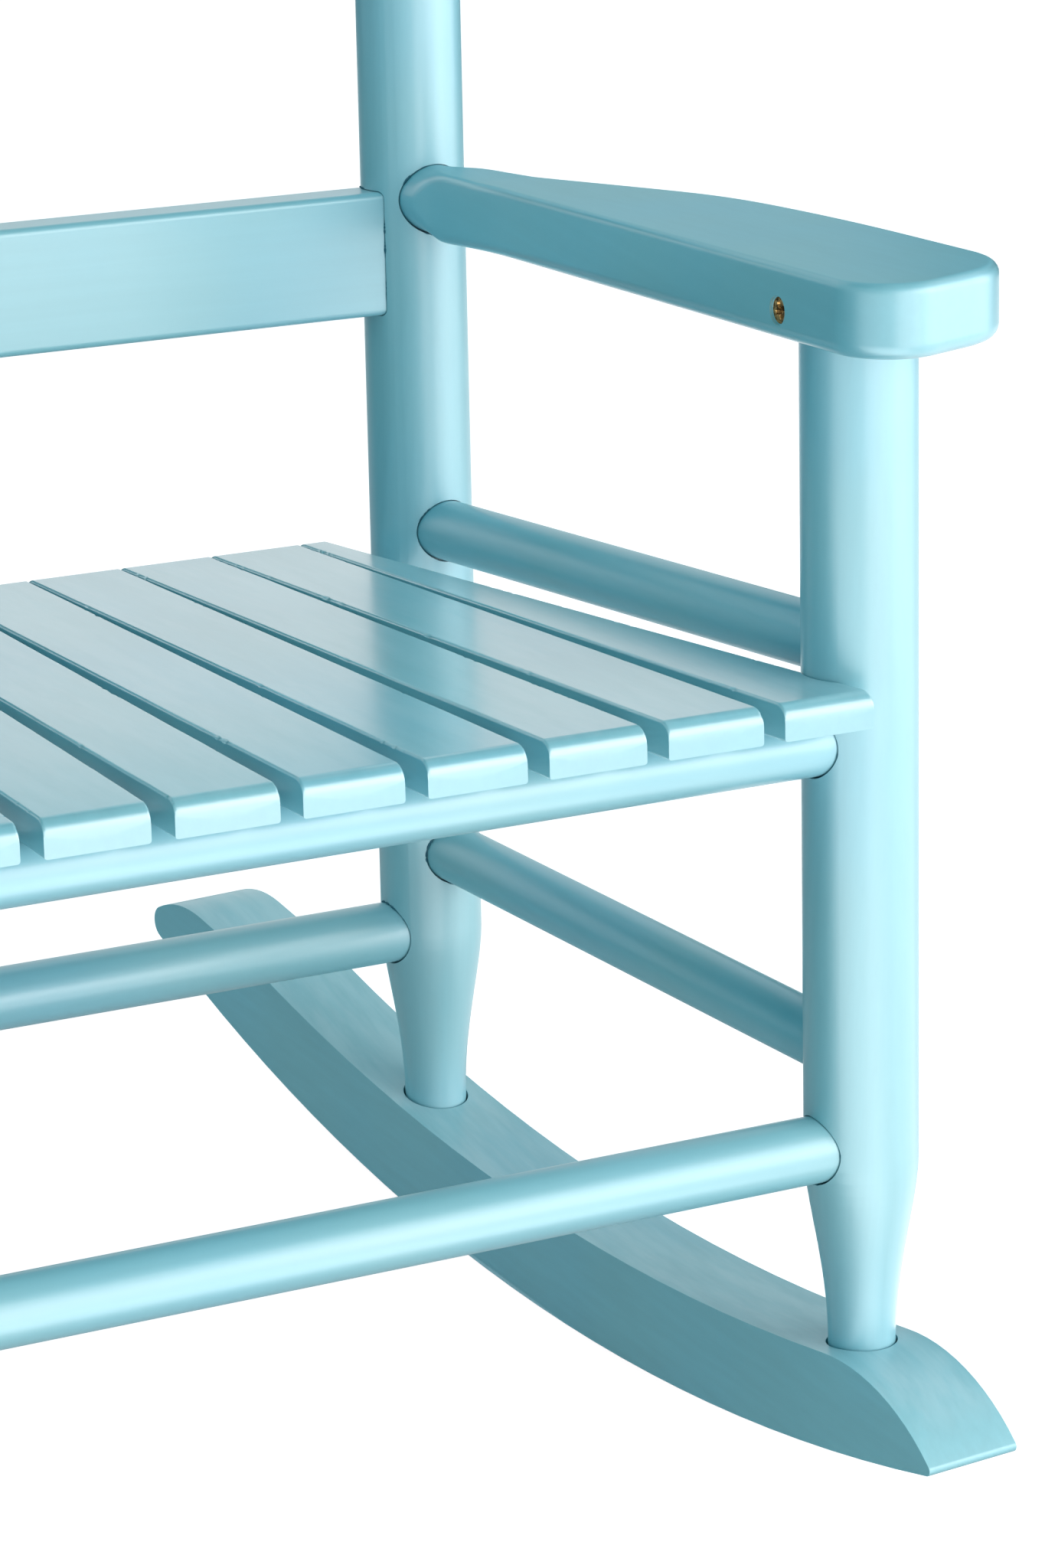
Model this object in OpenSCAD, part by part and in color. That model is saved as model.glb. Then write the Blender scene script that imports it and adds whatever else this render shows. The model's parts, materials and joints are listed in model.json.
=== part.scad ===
// Child's rocking chair: turned posts, ladder back, fanned slat seat, paddle arms and curved runners.
// The chair is drawn with the seat level. Zero is on the seat's top face, midway between the front
// posts. place() then leans it back to the angle at which it stands at rest on its runners.

/* [Frame] */
// Distance between the axes of the front posts
front_span = 390; // [376:1:410]
// Distance between the axes of the rear posts
rear_span = 338; // [336:1:350]
// Distance from the front post axes back to the rear post axes
post_depth = 260; // [240:1:290]
// Height of the seat's top face over the lowest point of the runners
seat_height = 269.5; // [255:0.5:290]
// Backward lean of the chair as it stands at rest, in degrees
rest_lean = 7.57; // [4:0.01:10]

/* [Posts] */
// Diameter of the front posts
front_post_d = 38; // [34:0.5:42]
// Diameter of the rear posts
rear_post_d = 37; // [34:0.5:42]
// Height of the rear posts' tops over the seat
rear_post_rise = 469; // [440:1:490]
// Height of the turned dome on a rear post's top
dome_h = 15; // [8:0.5:20]

/* [Feet] */
// Diameter of the turned foot where it enters the runner
foot_d = 22.6; // [18:0.1:26]
// Length of the curved taper above the runner
foot_taper = 65; // [50:1:75]
// Depth of the foot's socket in the runner
socket_depth = 18; // [12:0.5:22]
// Gap all round the foot in its socket
socket_gap = 0.7; // [0.2:0.1:1]

/* [Rails and stretchers] */
// Diameter of the seat rails, front and rear
seat_rail_d = 22; // [19:0.5:24]
// Width of the flat planed along the top of a seat rail, under the slats
seat_rail_flat = 9; // [6:0.5:12]
// Diameter of the front and rear stretchers
stretcher_d = 22.4; // [19:0.2:24]
// Height of the front stretcher below the seat's top face
front_stretcher_drop = 160; // [154:0.5:164]
// Height of the rear stretcher below the seat's top face
rear_stretcher_drop = 148.5; // [146:0.5:152]
// Diameter of the upper side rails
upper_side_d = 21.6; // [18:0.2:23]
// Height of the upper side rail's axis over the seat at the front post
upper_side_front = 6.5; // [4:0.5:12]
// Height of the upper side rail's axis over the seat at the rear post
upper_side_rear = 3.5; // [3:0.5:12]
// Diameter of the lower side rails
lower_side_d = 21; // [18:0.2:23]
// Depth of the lower side rail's axis below the seat at the front post
lower_side_front_drop = 131.5; // [125:0.5:134]
// Depth of the lower side rail's axis below the seat at the rear post
lower_side_rear_drop = 116; // [110:0.5:122]
// Depth that a rail's end reaches into its post
tenon_depth = 15; // [10:0.5:16]
// Radial clearance of a glued round joint
fit_gap = 0.1; // [0.05:0.01:0.15]
// Radial gap round a rail at the mouth of its bore, where the paint has left a dark line
mouth_gap = 0.45; // [0.3:0.05:0.6]
// Depth of that mouth below the post's surface
mouth_depth = 1.2; // [0.8:0.1:2]
// Distance by which the mouths sit low, so that the gap is widest under a rail
mouth_drop = 0.2; // [0:0.05:0.25]

/* [Seat slats] */
// Thickness of a slat
slat_t = 12; // [10:0.5:14]
// Width of an inner slat
slat_w = 34.2; // [31:0.1:34.6]
// Width of an outer slat at its front end
outer_slat_front_w = 32.8; // [28:0.1:36]
// Width of an outer slat at its rear end
outer_slat_rear_w = 9.4; // [8:0.1:10]
// Distance of the outer slat's outer edge inside the front post's axis, at the slat's front end
outer_edge_front_inset = 11.8; // [10:0.1:14]
// Distance of the outer slat's outer edge inside the rear post's axis, at the slat's rear end
outer_edge_rear_inset = 36.6; // [35:0.1:38]
// Overhang of the slats in front of the front post axes
slat_front_reach = 28; // [20:0.5:32]
// Overhang of the slats behind the rear post axes
slat_rear_reach = 9; // [6:0.5:14]
// Radius of the rounding over a slat's ends
slat_nose_r = 5; // [3:0.5:8]
// Radius that eases a slat's long top edges
slat_ease_r = 0.9; // [0.5:0.1:2]
// Clearance of the outer slat's notch around the front post
notch_gap = 0.5; // [0.3:0.1:1]

/* [Back rails] */
// Height of a back rail
back_rail_h = 44; // [38:1:50]
// Thickness of a back rail
back_rail_t = 18; // [14:0.5:20]
// Height of the lowest back rail's underside over the seat
back_rail_rise = 82; // [76:1:88]
// Distance from one back rail to the next, centre to centre
back_rail_pitch = 140; // [120:1:146]
// Depth that a back rail reaches into its post
back_rail_seat = 6.5; // [4:0.5:7]
// Radius that rounds a back rail's long edges
back_rail_r = 2.5; // [1:0.5:4]

/* [Arms] */
// Thickness of an arm
arm_t = 24; // [20:0.5:28]
// Height of an arm's underside over the seat
arm_rise = 110; // [104:0.5:118]
// Reach of an arm in front of the front post's axis
arm_reach = 54; // [48:1:60]
// Distance of an arm's inner edge from the front post's axis
arm_inner = 30; // [26:0.5:34]
// Distance of the paddle's outer corner from the front post's axis
arm_outer = 37.6; // [34:0.1:42]
// Radius of the paddle's inner front corner
arm_inner_corner_r = 20; // [14:0.5:24]
// Radius of the paddle's outer front corner
arm_outer_corner_r = 36; // [30:0.5:38]
// Radius of the long sweep along an arm's outer edge
arm_sweep_r = 500; // [480:5:560]
// Distance of an arm's inner edge inside the rear post's axis, at the arm's rear end
arm_rear_inner = 3; // [0:0.5:8]
// Distance of an arm's outer edge outside the rear post's axis, at the arm's rear end
arm_rear_outer = 23.5; // [18:0.5:27]
// Radius of the rounding along an arm's edges
arm_edge_r = 5; // [3:0.5:5.5]
// Gap from the arm's board to the rear post
arm_board_gap = 7.5; // [5:0.5:14]
// Diameter of the round shoulder at an arm's rear end
arm_shoulder_d = 24; // [20:0.5:25]
// Height of that shoulder's lowest line over the arm's underside
arm_shoulder_lift = 1.6; // [0.2:0.1:2.5]
// Depth that the shoulder is let into the rear post
arm_shoulder_seat = 5.5; // [4:0.5:7]
// Length over which the shoulder swells out of the arm's board
arm_shoulder_root = 26; // [16:1:34]
// Diameter of the tenon beyond the shoulder
arm_tenon_d = 16; // [12:0.5:17]
// Diameter of the tenon on a front post's top
post_tenon_d = 22; // [18:0.5:24]
// Length of the tenon on a front post's top
post_tenon_l = 16; // [12:0.5:18]

/* [Runners] */
// Thickness of a runner
runner_w = 36; // [32:0.5:40]
// Depth of a runner between its top and bottom curves, at the deepest place of the top curve
runner_h = 36; // [32:0.5:42]
// Radius of the curve that rocks on the floor
runner_bottom_r = 790; // [740:5:850]
// Distance of that curve's lowest point behind the front foot, with the seat level
runner_low = 92; // [80:1:110]
// Radius of the runner's top curve
runner_top_r = 880; // [850:5:950]
// Distance of the top curve's lowest point behind the front foot
runner_top_low = 77; // [65:1:95]
// Radius of the rounded front nose
nose_r = 70; // [55:1:80]
// Distance from the front foot forward to the middle of the nose's curve
nose_lead = 8; // [2:0.5:14]
// Distance from the front foot back to the crown of the rear tip
tip_crown = 413.5; // [400:1:424]
// Radius of the crown of the rear tip
tip_crown_r = 50; // [40:1:60]
// Distance from the front foot back to where the top curve runs out straight to the crown
crown_run = 368; // [340:1:376]
// Drop of the crown below the top curve's continuation
crown_drop = 4.3; // [2.5:0.1:5]
// Radius that blunts the front tip
front_tip_r = 2; // [1:0.5:4]
// Radius that blunts the rear tip
tip_r = 6.5; // [4:0.5:9]

/* [Screws] */
// Diameter of the arm screws' heads
arm_screw_head_d = 8.6; // [7:0.2:9.6]
// Diameter of the recess over an arm screw
arm_recess_d = 10; // [9.8:0.2:12]
// Depth of an arm screw's head under the arm's inner edge
arm_recess_depth = 3; // [2:0.5:4]
// Length of an arm screw
arm_screw_l = 32; // [26:1:36]
// Height of the arm screw's axis over the arm's underside
arm_screw_rise = 9.5; // [8:0.5:11]
// Diameter of the shank of every screw
shank_d = 3.5; // [3:0.1:4]
// Diameter of the seat screws' and runner screws' heads
head_d = 7; // [6:0.1:8]
// Depth of a seat screw's point under the slat's top face
seat_screw_cover = 4; // [3:0.5:6]
// Length of a runner screw
runner_screw_l = 45; // [36:1:50]
// Clearance of a screw's shank and head in the wood
screw_gap = 0.05; // [0.03:0.01:0.1]

/* [Hidden] */

// Finishes
AQUA = [0.60, 0.83, 0.88];
BRASS = [0.62, 0.52, 0.34];
STEEL = [0.62, 0.63, 0.64];

// Fineness of round turnings, and of the steps along a turned curve
ROUND = 96;
CURVE_STEPS = 16;
// Overlap that lets a cut break cleanly through a face
CUT = 1;
// Height of a countersunk head's cone
HEAD_CONE = 2.5;
// Depth of a runner screw's head above the curve that rocks on the floor
RUNNER_HEAD_SINK = 3;

// Posts
front_x = front_span / 2;
rear_x = rear_span / 2;
front_r = front_post_d / 2;
rear_r = rear_post_d / 2;
toe_in = atan((front_x - rear_x) / post_depth);
foot_line = norm([front_x - rear_x, post_depth]);

// Runner curves, in the runner's own plane: first distance behind the front foot, then height
bottom_c = [runner_low, runner_bottom_r - seat_height];
top_c = [runner_top_low, runner_top_r - seat_height + runner_h];
nose_c = [-nose_lead, circle_under(top_c, runner_top_r + nose_r, -nose_lead)];
crown_c = [tip_crown, circle_under(top_c, runner_top_r + tip_crown_r, tip_crown) - crown_drop];
top_end = [crown_run, circle_under(top_c, runner_top_r, crown_run)];
crown_start = touch_point(top_end, crown_c, tip_crown_r);
nose_tip = circles_meet(nose_c, nose_r, bottom_c, runner_bottom_r, -1);
rear_tip = circles_meet(crown_c, tip_crown_r, bottom_c, runner_bottom_r, 1);
blunt_c = circles_meet(crown_c, tip_crown_r - tip_r, bottom_c, runner_bottom_r - tip_r, 1);
nose_blunt_c = circles_meet(nose_c, nose_r - front_tip_r, bottom_c, runner_bottom_r - front_tip_r, -1);

// Heights of the runner's top and of the foot ends, front and rear
front_foot_top = circle_under(top_c, runner_top_r, 0);
rear_foot_top = circle_under(top_c, runner_top_r, foot_line);

// Seat
rail_flat_h = sqrt(pow(seat_rail_d / 2, 2) - pow(seat_rail_flat / 2, 2));
seat_rail_z = -slat_t - rail_flat_h;
SLATS = 9;
MIDDLE = (SLATS + 1) / 2;
slat_front_y = -slat_front_reach;
slat_rear_y = post_depth + slat_rear_reach;
outer_front_x = front_x - outer_edge_front_inset;
outer_rear_x = rear_x - outer_edge_rear_inset;
front_pitch = (outer_front_x - outer_slat_front_w + slat_w / 2) / (SLATS - MIDDLE);
rear_pitch = (outer_rear_x - outer_slat_rear_w + slat_w / 2) / (SLATS - MIDDLE);

// Arms, in plan, with zero on the front post's axis and x outwards
arm_end_y = post_depth - rear_r - arm_board_gap;
arm_rear_corner_r = arm_edge_r + 2;
// The paddle's outer corner is centred this far ahead of the post's axis
ARM_CORNER_Y = -13;
arm_top = arm_rise + arm_t;
arm_tenon_z = arm_rise + arm_shoulder_lift + arm_shoulder_d / 2;
arm_screw_z = arm_rise + arm_screw_rise;

// Lean, and the box around the leaning chair
lean_y = [cos(rest_lean), sin(rest_lean)];
lean_z = [-sin(rest_lean), cos(rest_lean)];
toe = [cos(toe_in), sin(toe_in)];
front_edge_y = nose_blunt_c.x * toe.x * lean_y.x + nose_blunt_c.y * lean_y.y
    - front_tip_r * norm([toe.x * lean_y.x, lean_y.y]) - runner_w / 2 * toe.y * lean_y.x;
rear_edge_y = blunt_c.x * toe.x * lean_y.x + blunt_c.y * lean_y.y
    + tip_r * norm([toe.x * lean_y.x, lean_y.y]) + runner_w / 2 * toe.y * lean_y.x;
floor_z = bottom_c.x * toe.x * lean_z.x + bottom_c.y * lean_z.y
    - runner_bottom_r * norm([toe.x * lean_z.x, lean_z.y]) - runner_w / 2 * toe.y * sin(rest_lean);
middle_y = (front_edge_y + rear_edge_y) / 2;

// Height of a circle's lower half at a given distance
function circle_under(c, r, x) = c.y - sqrt(r * r - pow(x - c.x, 2));

// One of the two points where circles a and b meet; side picks the one to the right (1) or left (-1)
function circles_meet(a, ra, b, rb, side) =
    let (d = b - a, l = norm(d), t = (l * l + ra * ra - rb * rb) / (2 * l), h = sqrt(ra * ra - t * t),
         u = d / l, m = a + u * t, p = m + [u.y, -u.x] * h, q = m - [u.y, -u.x] * h)
    (p.x - q.x) * side > 0 ? p : q;

// Point where the upper tangent from p touches a circle that lies to its right
function touch_point(p, c, r) =
    let (d = p - c, l = norm(d), a = atan2(d.y, d.x) - acos(r / l)) c + r * [cos(a), sin(a)];

// Direction of the common outer tangent's normal, going anticlockwise from circle a to circle b
function tangent_angle(a, ra, b, rb) = atan2(b.y - a.y, b.x - a.x) - acos((ra - rb) / norm(b - a));

// Points of an outline's arc, each with the direction of its outward normal: [x, y, angle]
function arc_points(c, r, from, to, steps) =
    [for (i = [0 : steps]) let (a = from + (to - from) * i / steps) [c.x + r * cos(a), c.y + r * sin(a), a]];

// Radius along a turned S-curve that runs from r0 to r1 as t goes from 0 to 1
function turned(r0, r1, t, fullness = 0.8) = r1 + (r0 - r1) * (1 + cos(180 * pow(t, fullness))) / 2;

// Stands the level chair at its resting lean, over the middle of its box
module place() {
    translate([0, -middle_y, -floor_z]) rotate([-rest_lean, 0, 0]) children();
}

// Draws a right-hand piece on the right (side 1) or mirrored on the left (side -1)
module on_side(side) {
    if (side > 0) children();
    else mirror([1, 0, 0]) children();
}

// Round rod between two points, made longer by the given amounts at its ends
module rod(a, b, d, extra_a = 0, extra_b = 0) {
    v = b - a;
    l = norm(v);
    translate(a) rotate([0, acos(v.z / l), atan2(v.y, v.x)]) translate([0, 0, -extra_a])
        cylinder(d = d, h = l + extra_a + extra_b, $fn = ROUND);
}

// Turned foot: the tapered curve, and the plug that stands in the runner's socket
function foot_profile(top_z, r) = concat(
    [[0, top_z - socket_depth], [foot_d / 2, top_z - socket_depth]],
    [for (i = [CURVE_STEPS : -1 : 0]) let (t = i / CURVE_STEPS)
        [turned(r, foot_d / 2, t), top_z + foot_taper * (1 - t)]]);

// Ends of the rails, as points on the posts' axes on the right-hand side
function front_axis(z) = [front_x, 0, z];
function rear_axis(z) = [rear_x, post_depth, z];

// Mouth of a rail's bore in the post at one end of the rail
module mouth(at, far_end, d, post_r) {
    u = (far_end - at) / norm(far_end - at);
    reach = sqrt(pow(post_r, 2) - pow(d / 2 + mouth_gap, 2)) - mouth_depth;
    translate([0, 0, -mouth_drop]) rod(at + u * reach, at + u * (post_r + CUT), d + 2 * mouth_gap);
}

module side_mouths(front) {
    upper = [front_axis(upper_side_front), rear_axis(upper_side_rear)];
    lower = [front_axis(-lower_side_front_drop), rear_axis(-lower_side_rear_drop)];
    post_r = front ? front_r : rear_r;
    mouth(upper[front ? 0 : 1], upper[front ? 1 : 0], upper_side_d, post_r);
    mouth(lower[front ? 0 : 1], lower[front ? 1 : 0], lower_side_d, post_r);
}

module front_cross_rods(gap) {
    for (rail = [[seat_rail_z, seat_rail_d], [-front_stretcher_drop, stretcher_d]]) {
        rod([-front_x, 0, rail[0]], front_axis(rail[0]), rail[1] + 2 * gap,
            tenon_depth - front_r, tenon_depth - front_r + gap);
        mouth(front_axis(rail[0]), [0, 0, rail[0]], rail[1], front_r);
    }
}

module rear_cross_rods(gap) {
    for (rail = [[seat_rail_z, seat_rail_d], [-rear_stretcher_drop, stretcher_d]]) {
        rod([-rear_x, post_depth, rail[0]], rear_axis(rail[0]), rail[1] + 2 * gap,
            tenon_depth - rear_r, tenon_depth - rear_r + gap);
        mouth(rear_axis(rail[0]), [0, post_depth, rail[0]], rail[1], rear_r);
    }
}

module upper_side_rod(gap = 0) {
    rod(front_axis(upper_side_front), rear_axis(upper_side_rear), upper_side_d + 2 * gap,
        tenon_depth - front_r + gap, tenon_depth - rear_r + gap);
}

module lower_side_rod(gap = 0) {
    rod(front_axis(-lower_side_front_drop), rear_axis(-lower_side_rear_drop), lower_side_d + 2 * gap,
        tenon_depth - front_r + gap, tenon_depth - rear_r + gap);
}

module front_post(side) {
    color(AQUA) place() on_side(side) difference() {
        translate([front_x, 0, 0]) rotate_extrude($fn = ROUND) polygon(concat(
            foot_profile(front_foot_top, front_r),
            [[front_r, arm_rise], [post_tenon_d / 2, arm_rise],
             [post_tenon_d / 2, arm_rise + post_tenon_l], [0, arm_rise + post_tenon_l]]));
        front_cross_rods(fit_gap);
        side_mouths(true);
        upper_side_rod(fit_gap);
        lower_side_rod(fit_gap);
        arm_screw(screw_gap);
        runner_screw(0, front_foot_top, screw_gap);
    }
}

// Half section of a rear post's domed top
function dome_profile() = [for (i = [0 : CURVE_STEPS]) let (a = 90 * i / CURVE_STEPS)
    [i < CURVE_STEPS ? rear_r * cos(a) : 0, rear_post_rise - dome_h * (1 - sin(a))]];

module rear_post(side) {
    color(AQUA) place() on_side(side) difference() {
        translate([rear_x, post_depth, 0]) rotate_extrude($fn = ROUND)
            polygon(concat(foot_profile(rear_foot_top, rear_r), dome_profile()));
        rear_cross_rods(fit_gap);
        side_mouths(false);
        upper_side_rod(fit_gap);
        lower_side_rod(fit_gap);
        arm_bores();
        mouth([rear_x, post_depth, arm_tenon_z], [rear_x, 0, arm_tenon_z], arm_shoulder_d, rear_r);
        for (level = [0 : 2]) {
            back_rail_bar(level, fit_gap);
            back_rail_mouth(level);
        }
        runner_screw(foot_line, rear_foot_top, screw_gap);
    }
}

// What a blunted tip loses: the corner outside a small circle that touches both of its curves
module blunting(tip, c, r, curve_c) {
    difference() {
        polygon([c, c + (c - curve_c) / norm(c - curve_c) * r, c + (tip - c) * 2,
                 c + (c - bottom_c) / norm(c - bottom_c) * r]);
        translate(c) circle(r = r, $fn = ROUND);
    }
}

// Side view of a runner: the band between two arcs, with a rounded nose and a crowned, blunted rear tip
module runner_outline() {
    difference() {
        intersection() {
            translate(bottom_c) circle(r = runner_bottom_r, $fn = 720);
            union() {
                translate(nose_c) circle(r = nose_r, $fn = ROUND);
                polygon([nose_c, top_c, top_end, crown_start, crown_c,
                         [crown_c.x, -2 * seat_height], [nose_c.x, -2 * seat_height]]);
                translate(crown_c) circle(r = tip_crown_r, $fn = ROUND);
            }
        }
        translate(top_c) circle(r = runner_top_r, $fn = 720);
        blunting(rear_tip, blunt_c, tip_r, crown_c);
        blunting(nose_tip, nose_blunt_c, front_tip_r, nose_c);
    }
}

// Puts what is drawn in the runner's plane under the posts: x back from the front foot, y up
module in_runner_plane() {
    translate([front_x, 0, 0]) rotate([0, 0, toe_in]) rotate([90, 0, 90]) children();
}

module runner(side) {
    color(AQUA) place() on_side(side) difference() {
        in_runner_plane() linear_extrude(height = runner_w, center = true) runner_outline();
        for (foot = [[front_x, 0, front_foot_top], [rear_x, post_depth, rear_foot_top]])
            translate([foot.x, foot.y, foot.z - socket_depth])
                cylinder(d = foot_d + 2 * socket_gap, h = socket_depth + foot_taper, $fn = ROUND);
        runner_screw(0, front_foot_top, screw_gap);
        runner_screw(foot_line, rear_foot_top, screw_gap);
    }
}

// Outline of the right arm in plan, anticlockwise from the inner edge
inner_c = [-arm_inner + arm_inner_corner_r, -arm_reach + arm_inner_corner_r];
outer_c = [arm_outer - arm_outer_corner_r, ARM_CORNER_Y];
rear_inner_c = [rear_x - front_x - arm_rear_inner + arm_rear_corner_r, arm_end_y - arm_rear_corner_r];
rear_outer_c = [rear_x - front_x + arm_rear_outer - arm_rear_corner_r, arm_end_y - arm_rear_corner_r];
sweep_c = circles_meet(outer_c, arm_sweep_r - arm_outer_corner_r, rear_outer_c, arm_sweep_r - arm_rear_corner_r, -1);
sweep_start = atan2(outer_c.y - sweep_c.y, outer_c.x - sweep_c.x);
sweep_end = atan2(rear_outer_c.y - sweep_c.y, rear_outer_c.x - sweep_c.x);
inner_edge_angle = tangent_angle(rear_inner_c, arm_rear_corner_r, inner_c, arm_inner_corner_r);
front_edge_angle = tangent_angle(inner_c, arm_inner_corner_r, outer_c, arm_outer_corner_r);
// Where the arm's straight inner edge passes the front post's axis
inner_edge_x = inner_c.x + arm_inner_corner_r * cos(inner_edge_angle)
    + (inner_c.y + arm_inner_corner_r * sin(inner_edge_angle)) * tan(inner_edge_angle);
arm_outline = concat(
    arc_points(inner_c, arm_inner_corner_r, inner_edge_angle, front_edge_angle, 12),
    arc_points(outer_c, arm_outer_corner_r, front_edge_angle, sweep_start, 10),
    arc_points(sweep_c, arm_sweep_r, sweep_start + 1.5, sweep_end - 1.5, 14),
    arc_points(rear_outer_c, arm_rear_corner_r, sweep_end, 90, 6),
    arc_points(rear_inner_c, arm_rear_corner_r, 90, 360 + inner_edge_angle, 6));

// Heights and insets of the rings that round an arm's edges, from its underside up
EDGE_STEPS = 5;
arm_rings = concat(
    [for (i = [0 : EDGE_STEPS]) let (a = 90 * i / EDGE_STEPS)
        [arm_rise + arm_edge_r * (1 - cos(a)), arm_edge_r * (1 - sin(a))]],
    [for (i = [EDGE_STEPS : -1 : 0]) let (a = 90 * i / EDGE_STEPS)
        [arm_top - arm_edge_r * (1 - cos(a)), arm_edge_r * (1 - sin(a))]]);

// Board of the right arm: the outline's rings joined by triangles
module arm_board() {
    n = len(arm_outline);
    rings = len(arm_rings);
    polyhedron(
        points = [for (ring = arm_rings, p = arm_outline)
            [front_x + p.x - ring[1] * cos(p.z), p.y - ring[1] * sin(p.z), ring[0]]],
        faces = concat(
            [[for (i = [0 : n - 1]) i]],
            [[for (i = [n - 1 : -1 : 0]) (rings - 1) * n + i]],
            [for (k = [0 : rings - 2], i = [0 : n - 1]) let (j = (i + 1) % n)
                [k * n + i, (k + 1) * n + j, k * n + j]],
            [for (k = [0 : rings - 2], i = [0 : n - 1]) let (j = (i + 1) % n)
                [k * n + i, (k + 1) * n + i, (k + 1) * n + j]]));
}

// Round rear end of an arm: it swells out of the board, is let into the post and ends in a tenon
module arm_round_end() {
    r = arm_shoulder_d / 2;
    seat = arm_board_gap + arm_shoulder_seat;
    tip = arm_board_gap + tenon_depth;
    translate([rear_x, arm_end_y, arm_tenon_z]) rotate([-90, 0, 0]) rotate_extrude($fn = ROUND)
        polygon(concat([for (i = [0 : CURVE_STEPS]) let (a = 90 * i / CURVE_STEPS)
                [r * sin(a), -arm_shoulder_root * cos(a)]],
            [[r, seat], [arm_tenon_d / 2, seat], [arm_tenon_d / 2, tip], [0, tip]]));
}

// Bores in the rear post for the arm's round end
module arm_bores() {
    front = post_depth - rear_r - arm_board_gap;
    rod([rear_x, front, arm_tenon_z], [rear_x, post_depth - rear_r + arm_shoulder_seat + fit_gap, arm_tenon_z],
        arm_shoulder_d + 2 * fit_gap);
    rod([rear_x, front, arm_tenon_z], [rear_x, post_depth - rear_r + tenon_depth + fit_gap, arm_tenon_z],
        arm_tenon_d + 2 * fit_gap);
}

// Screw through the arm's inner edge into the front post's tenon
module arm_screw(gap = 0) {
    head_x = front_x + inner_edge_x + arm_recess_depth;
    translate([head_x, 0, arm_screw_z]) rotate([0, 90, 0]) {
        cylinder(d = shank_d + 2 * gap, h = arm_screw_l + gap, $fn = 32);
        cylinder(d1 = arm_screw_head_d + 2 * gap, d2 = shank_d + 2 * gap, h = HEAD_CONE, $fn = 32);
    }
}

module arm(side) {
    color(AQUA) place() on_side(side) difference() {
        union() {
            arm_board();
            arm_round_end();
        }
        translate([front_x, 0, arm_rise - CUT])
            cylinder(d = post_tenon_d + 2 * fit_gap, h = post_tenon_l + CUT + fit_gap, $fn = ROUND);
        arm_screw(screw_gap);
        translate([front_x + inner_edge_x - arm_recess_depth, 0, arm_screw_z]) rotate([0, 90, 0])
            cylinder(d = arm_recess_d, h = 2 * arm_recess_depth, $fn = 48);
    }
}

// Rail that carries the slats, with its planed flat and its screw holes
module seat_rail(span, y, r) {
    difference() {
        rod([-span / 2, y, seat_rail_z], [span / 2, y, seat_rail_z], seat_rail_d,
            tenon_depth - r, tenon_depth - r);
        translate([-span / 2 + r + CUT, y - seat_rail_d / 2, -slat_t])
            cube([span - 2 * r - 2 * CUT, seat_rail_d, seat_rail_d]);
        for (i = [1 : SLATS]) seat_screw(i, y, screw_gap);
    }
}

module seat_front_rail() {
    color(AQUA) place() seat_rail(front_span, 0, front_r);
}

module seat_rear_rail() {
    color(AQUA) place() seat_rail(rear_span, post_depth, rear_r);
}

module front_stretcher() {
    color(AQUA) place() rod([-front_x, 0, -front_stretcher_drop], front_axis(-front_stretcher_drop),
        stretcher_d, tenon_depth - front_r, tenon_depth - front_r);
}

module rear_stretcher() {
    color(AQUA) place() rod([-rear_x, post_depth, -rear_stretcher_drop], rear_axis(-rear_stretcher_drop),
        stretcher_d, tenon_depth - rear_r, tenon_depth - rear_r);
}

module upper_side_rail(side) {
    color(AQUA) place() on_side(side) upper_side_rod();
}

module lower_side_rail(side) {
    color(AQUA) place() on_side(side) lower_side_rod();
}

// Edges of slat i, as x at a given y: the fan narrows towards the rear
function along(front, rear, y) = front + (rear - front) * (y - slat_front_y) / (slat_rear_y - slat_front_y);
function slat_is_outer(i) = i == 1 || i == SLATS;
function slat_centre(i, y) = slat_is_outer(i)
    ? sign(i - MIDDLE) * (along(outer_front_x - outer_slat_front_w / 2, outer_rear_x - outer_slat_rear_w / 2, y))
    : along((i - MIDDLE) * front_pitch, (i - MIDDLE) * rear_pitch, y);

// Long bar with eased top edges, whose outer edge runs from x0 at the seat's front to x1 at its rear
module eased_bar(x0, x1, width) {
    l = slat_rear_y - slat_front_y;
    translate([x0, slat_front_y, 0]) rotate([90, 0, 180 + atan((x0 - x1) / l)])
        linear_extrude(height = 3 * l, center = true) {
            translate([0, -slat_t]) square([width, slat_t - slat_ease_r]);
            translate([slat_ease_r, -slat_t]) square([width - 2 * slat_ease_r, slat_t]);
            for (x = [slat_ease_r, width - slat_ease_r])
                translate([x, -slat_ease_r]) circle(r = slat_ease_r, $fn = 24);
        }
}

// Side view of a slat: both ends are rounded over on top
module slat_side_view() {
    l = slat_rear_y - slat_front_y;
    translate([slat_front_y, -slat_t]) square([l, slat_t - slat_nose_r]);
    translate([slat_front_y + slat_nose_r, -slat_t]) square([l - 2 * slat_nose_r, slat_t]);
    for (y = [slat_front_y + slat_nose_r, slat_rear_y - slat_nose_r])
        translate([y, -slat_nose_r]) circle(r = slat_nose_r, $fn = 48);
}

module slat_ends() {
    rotate([90, 0, 90]) linear_extrude(height = front_span, center = true) slat_side_view();
}

module inner_slat(i) {
    intersection() {
        eased_bar((i - MIDDLE) * front_pitch + slat_w / 2, (i - MIDDLE) * rear_pitch + slat_w / 2, slat_w);
        slat_ends();
    }
}

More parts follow.
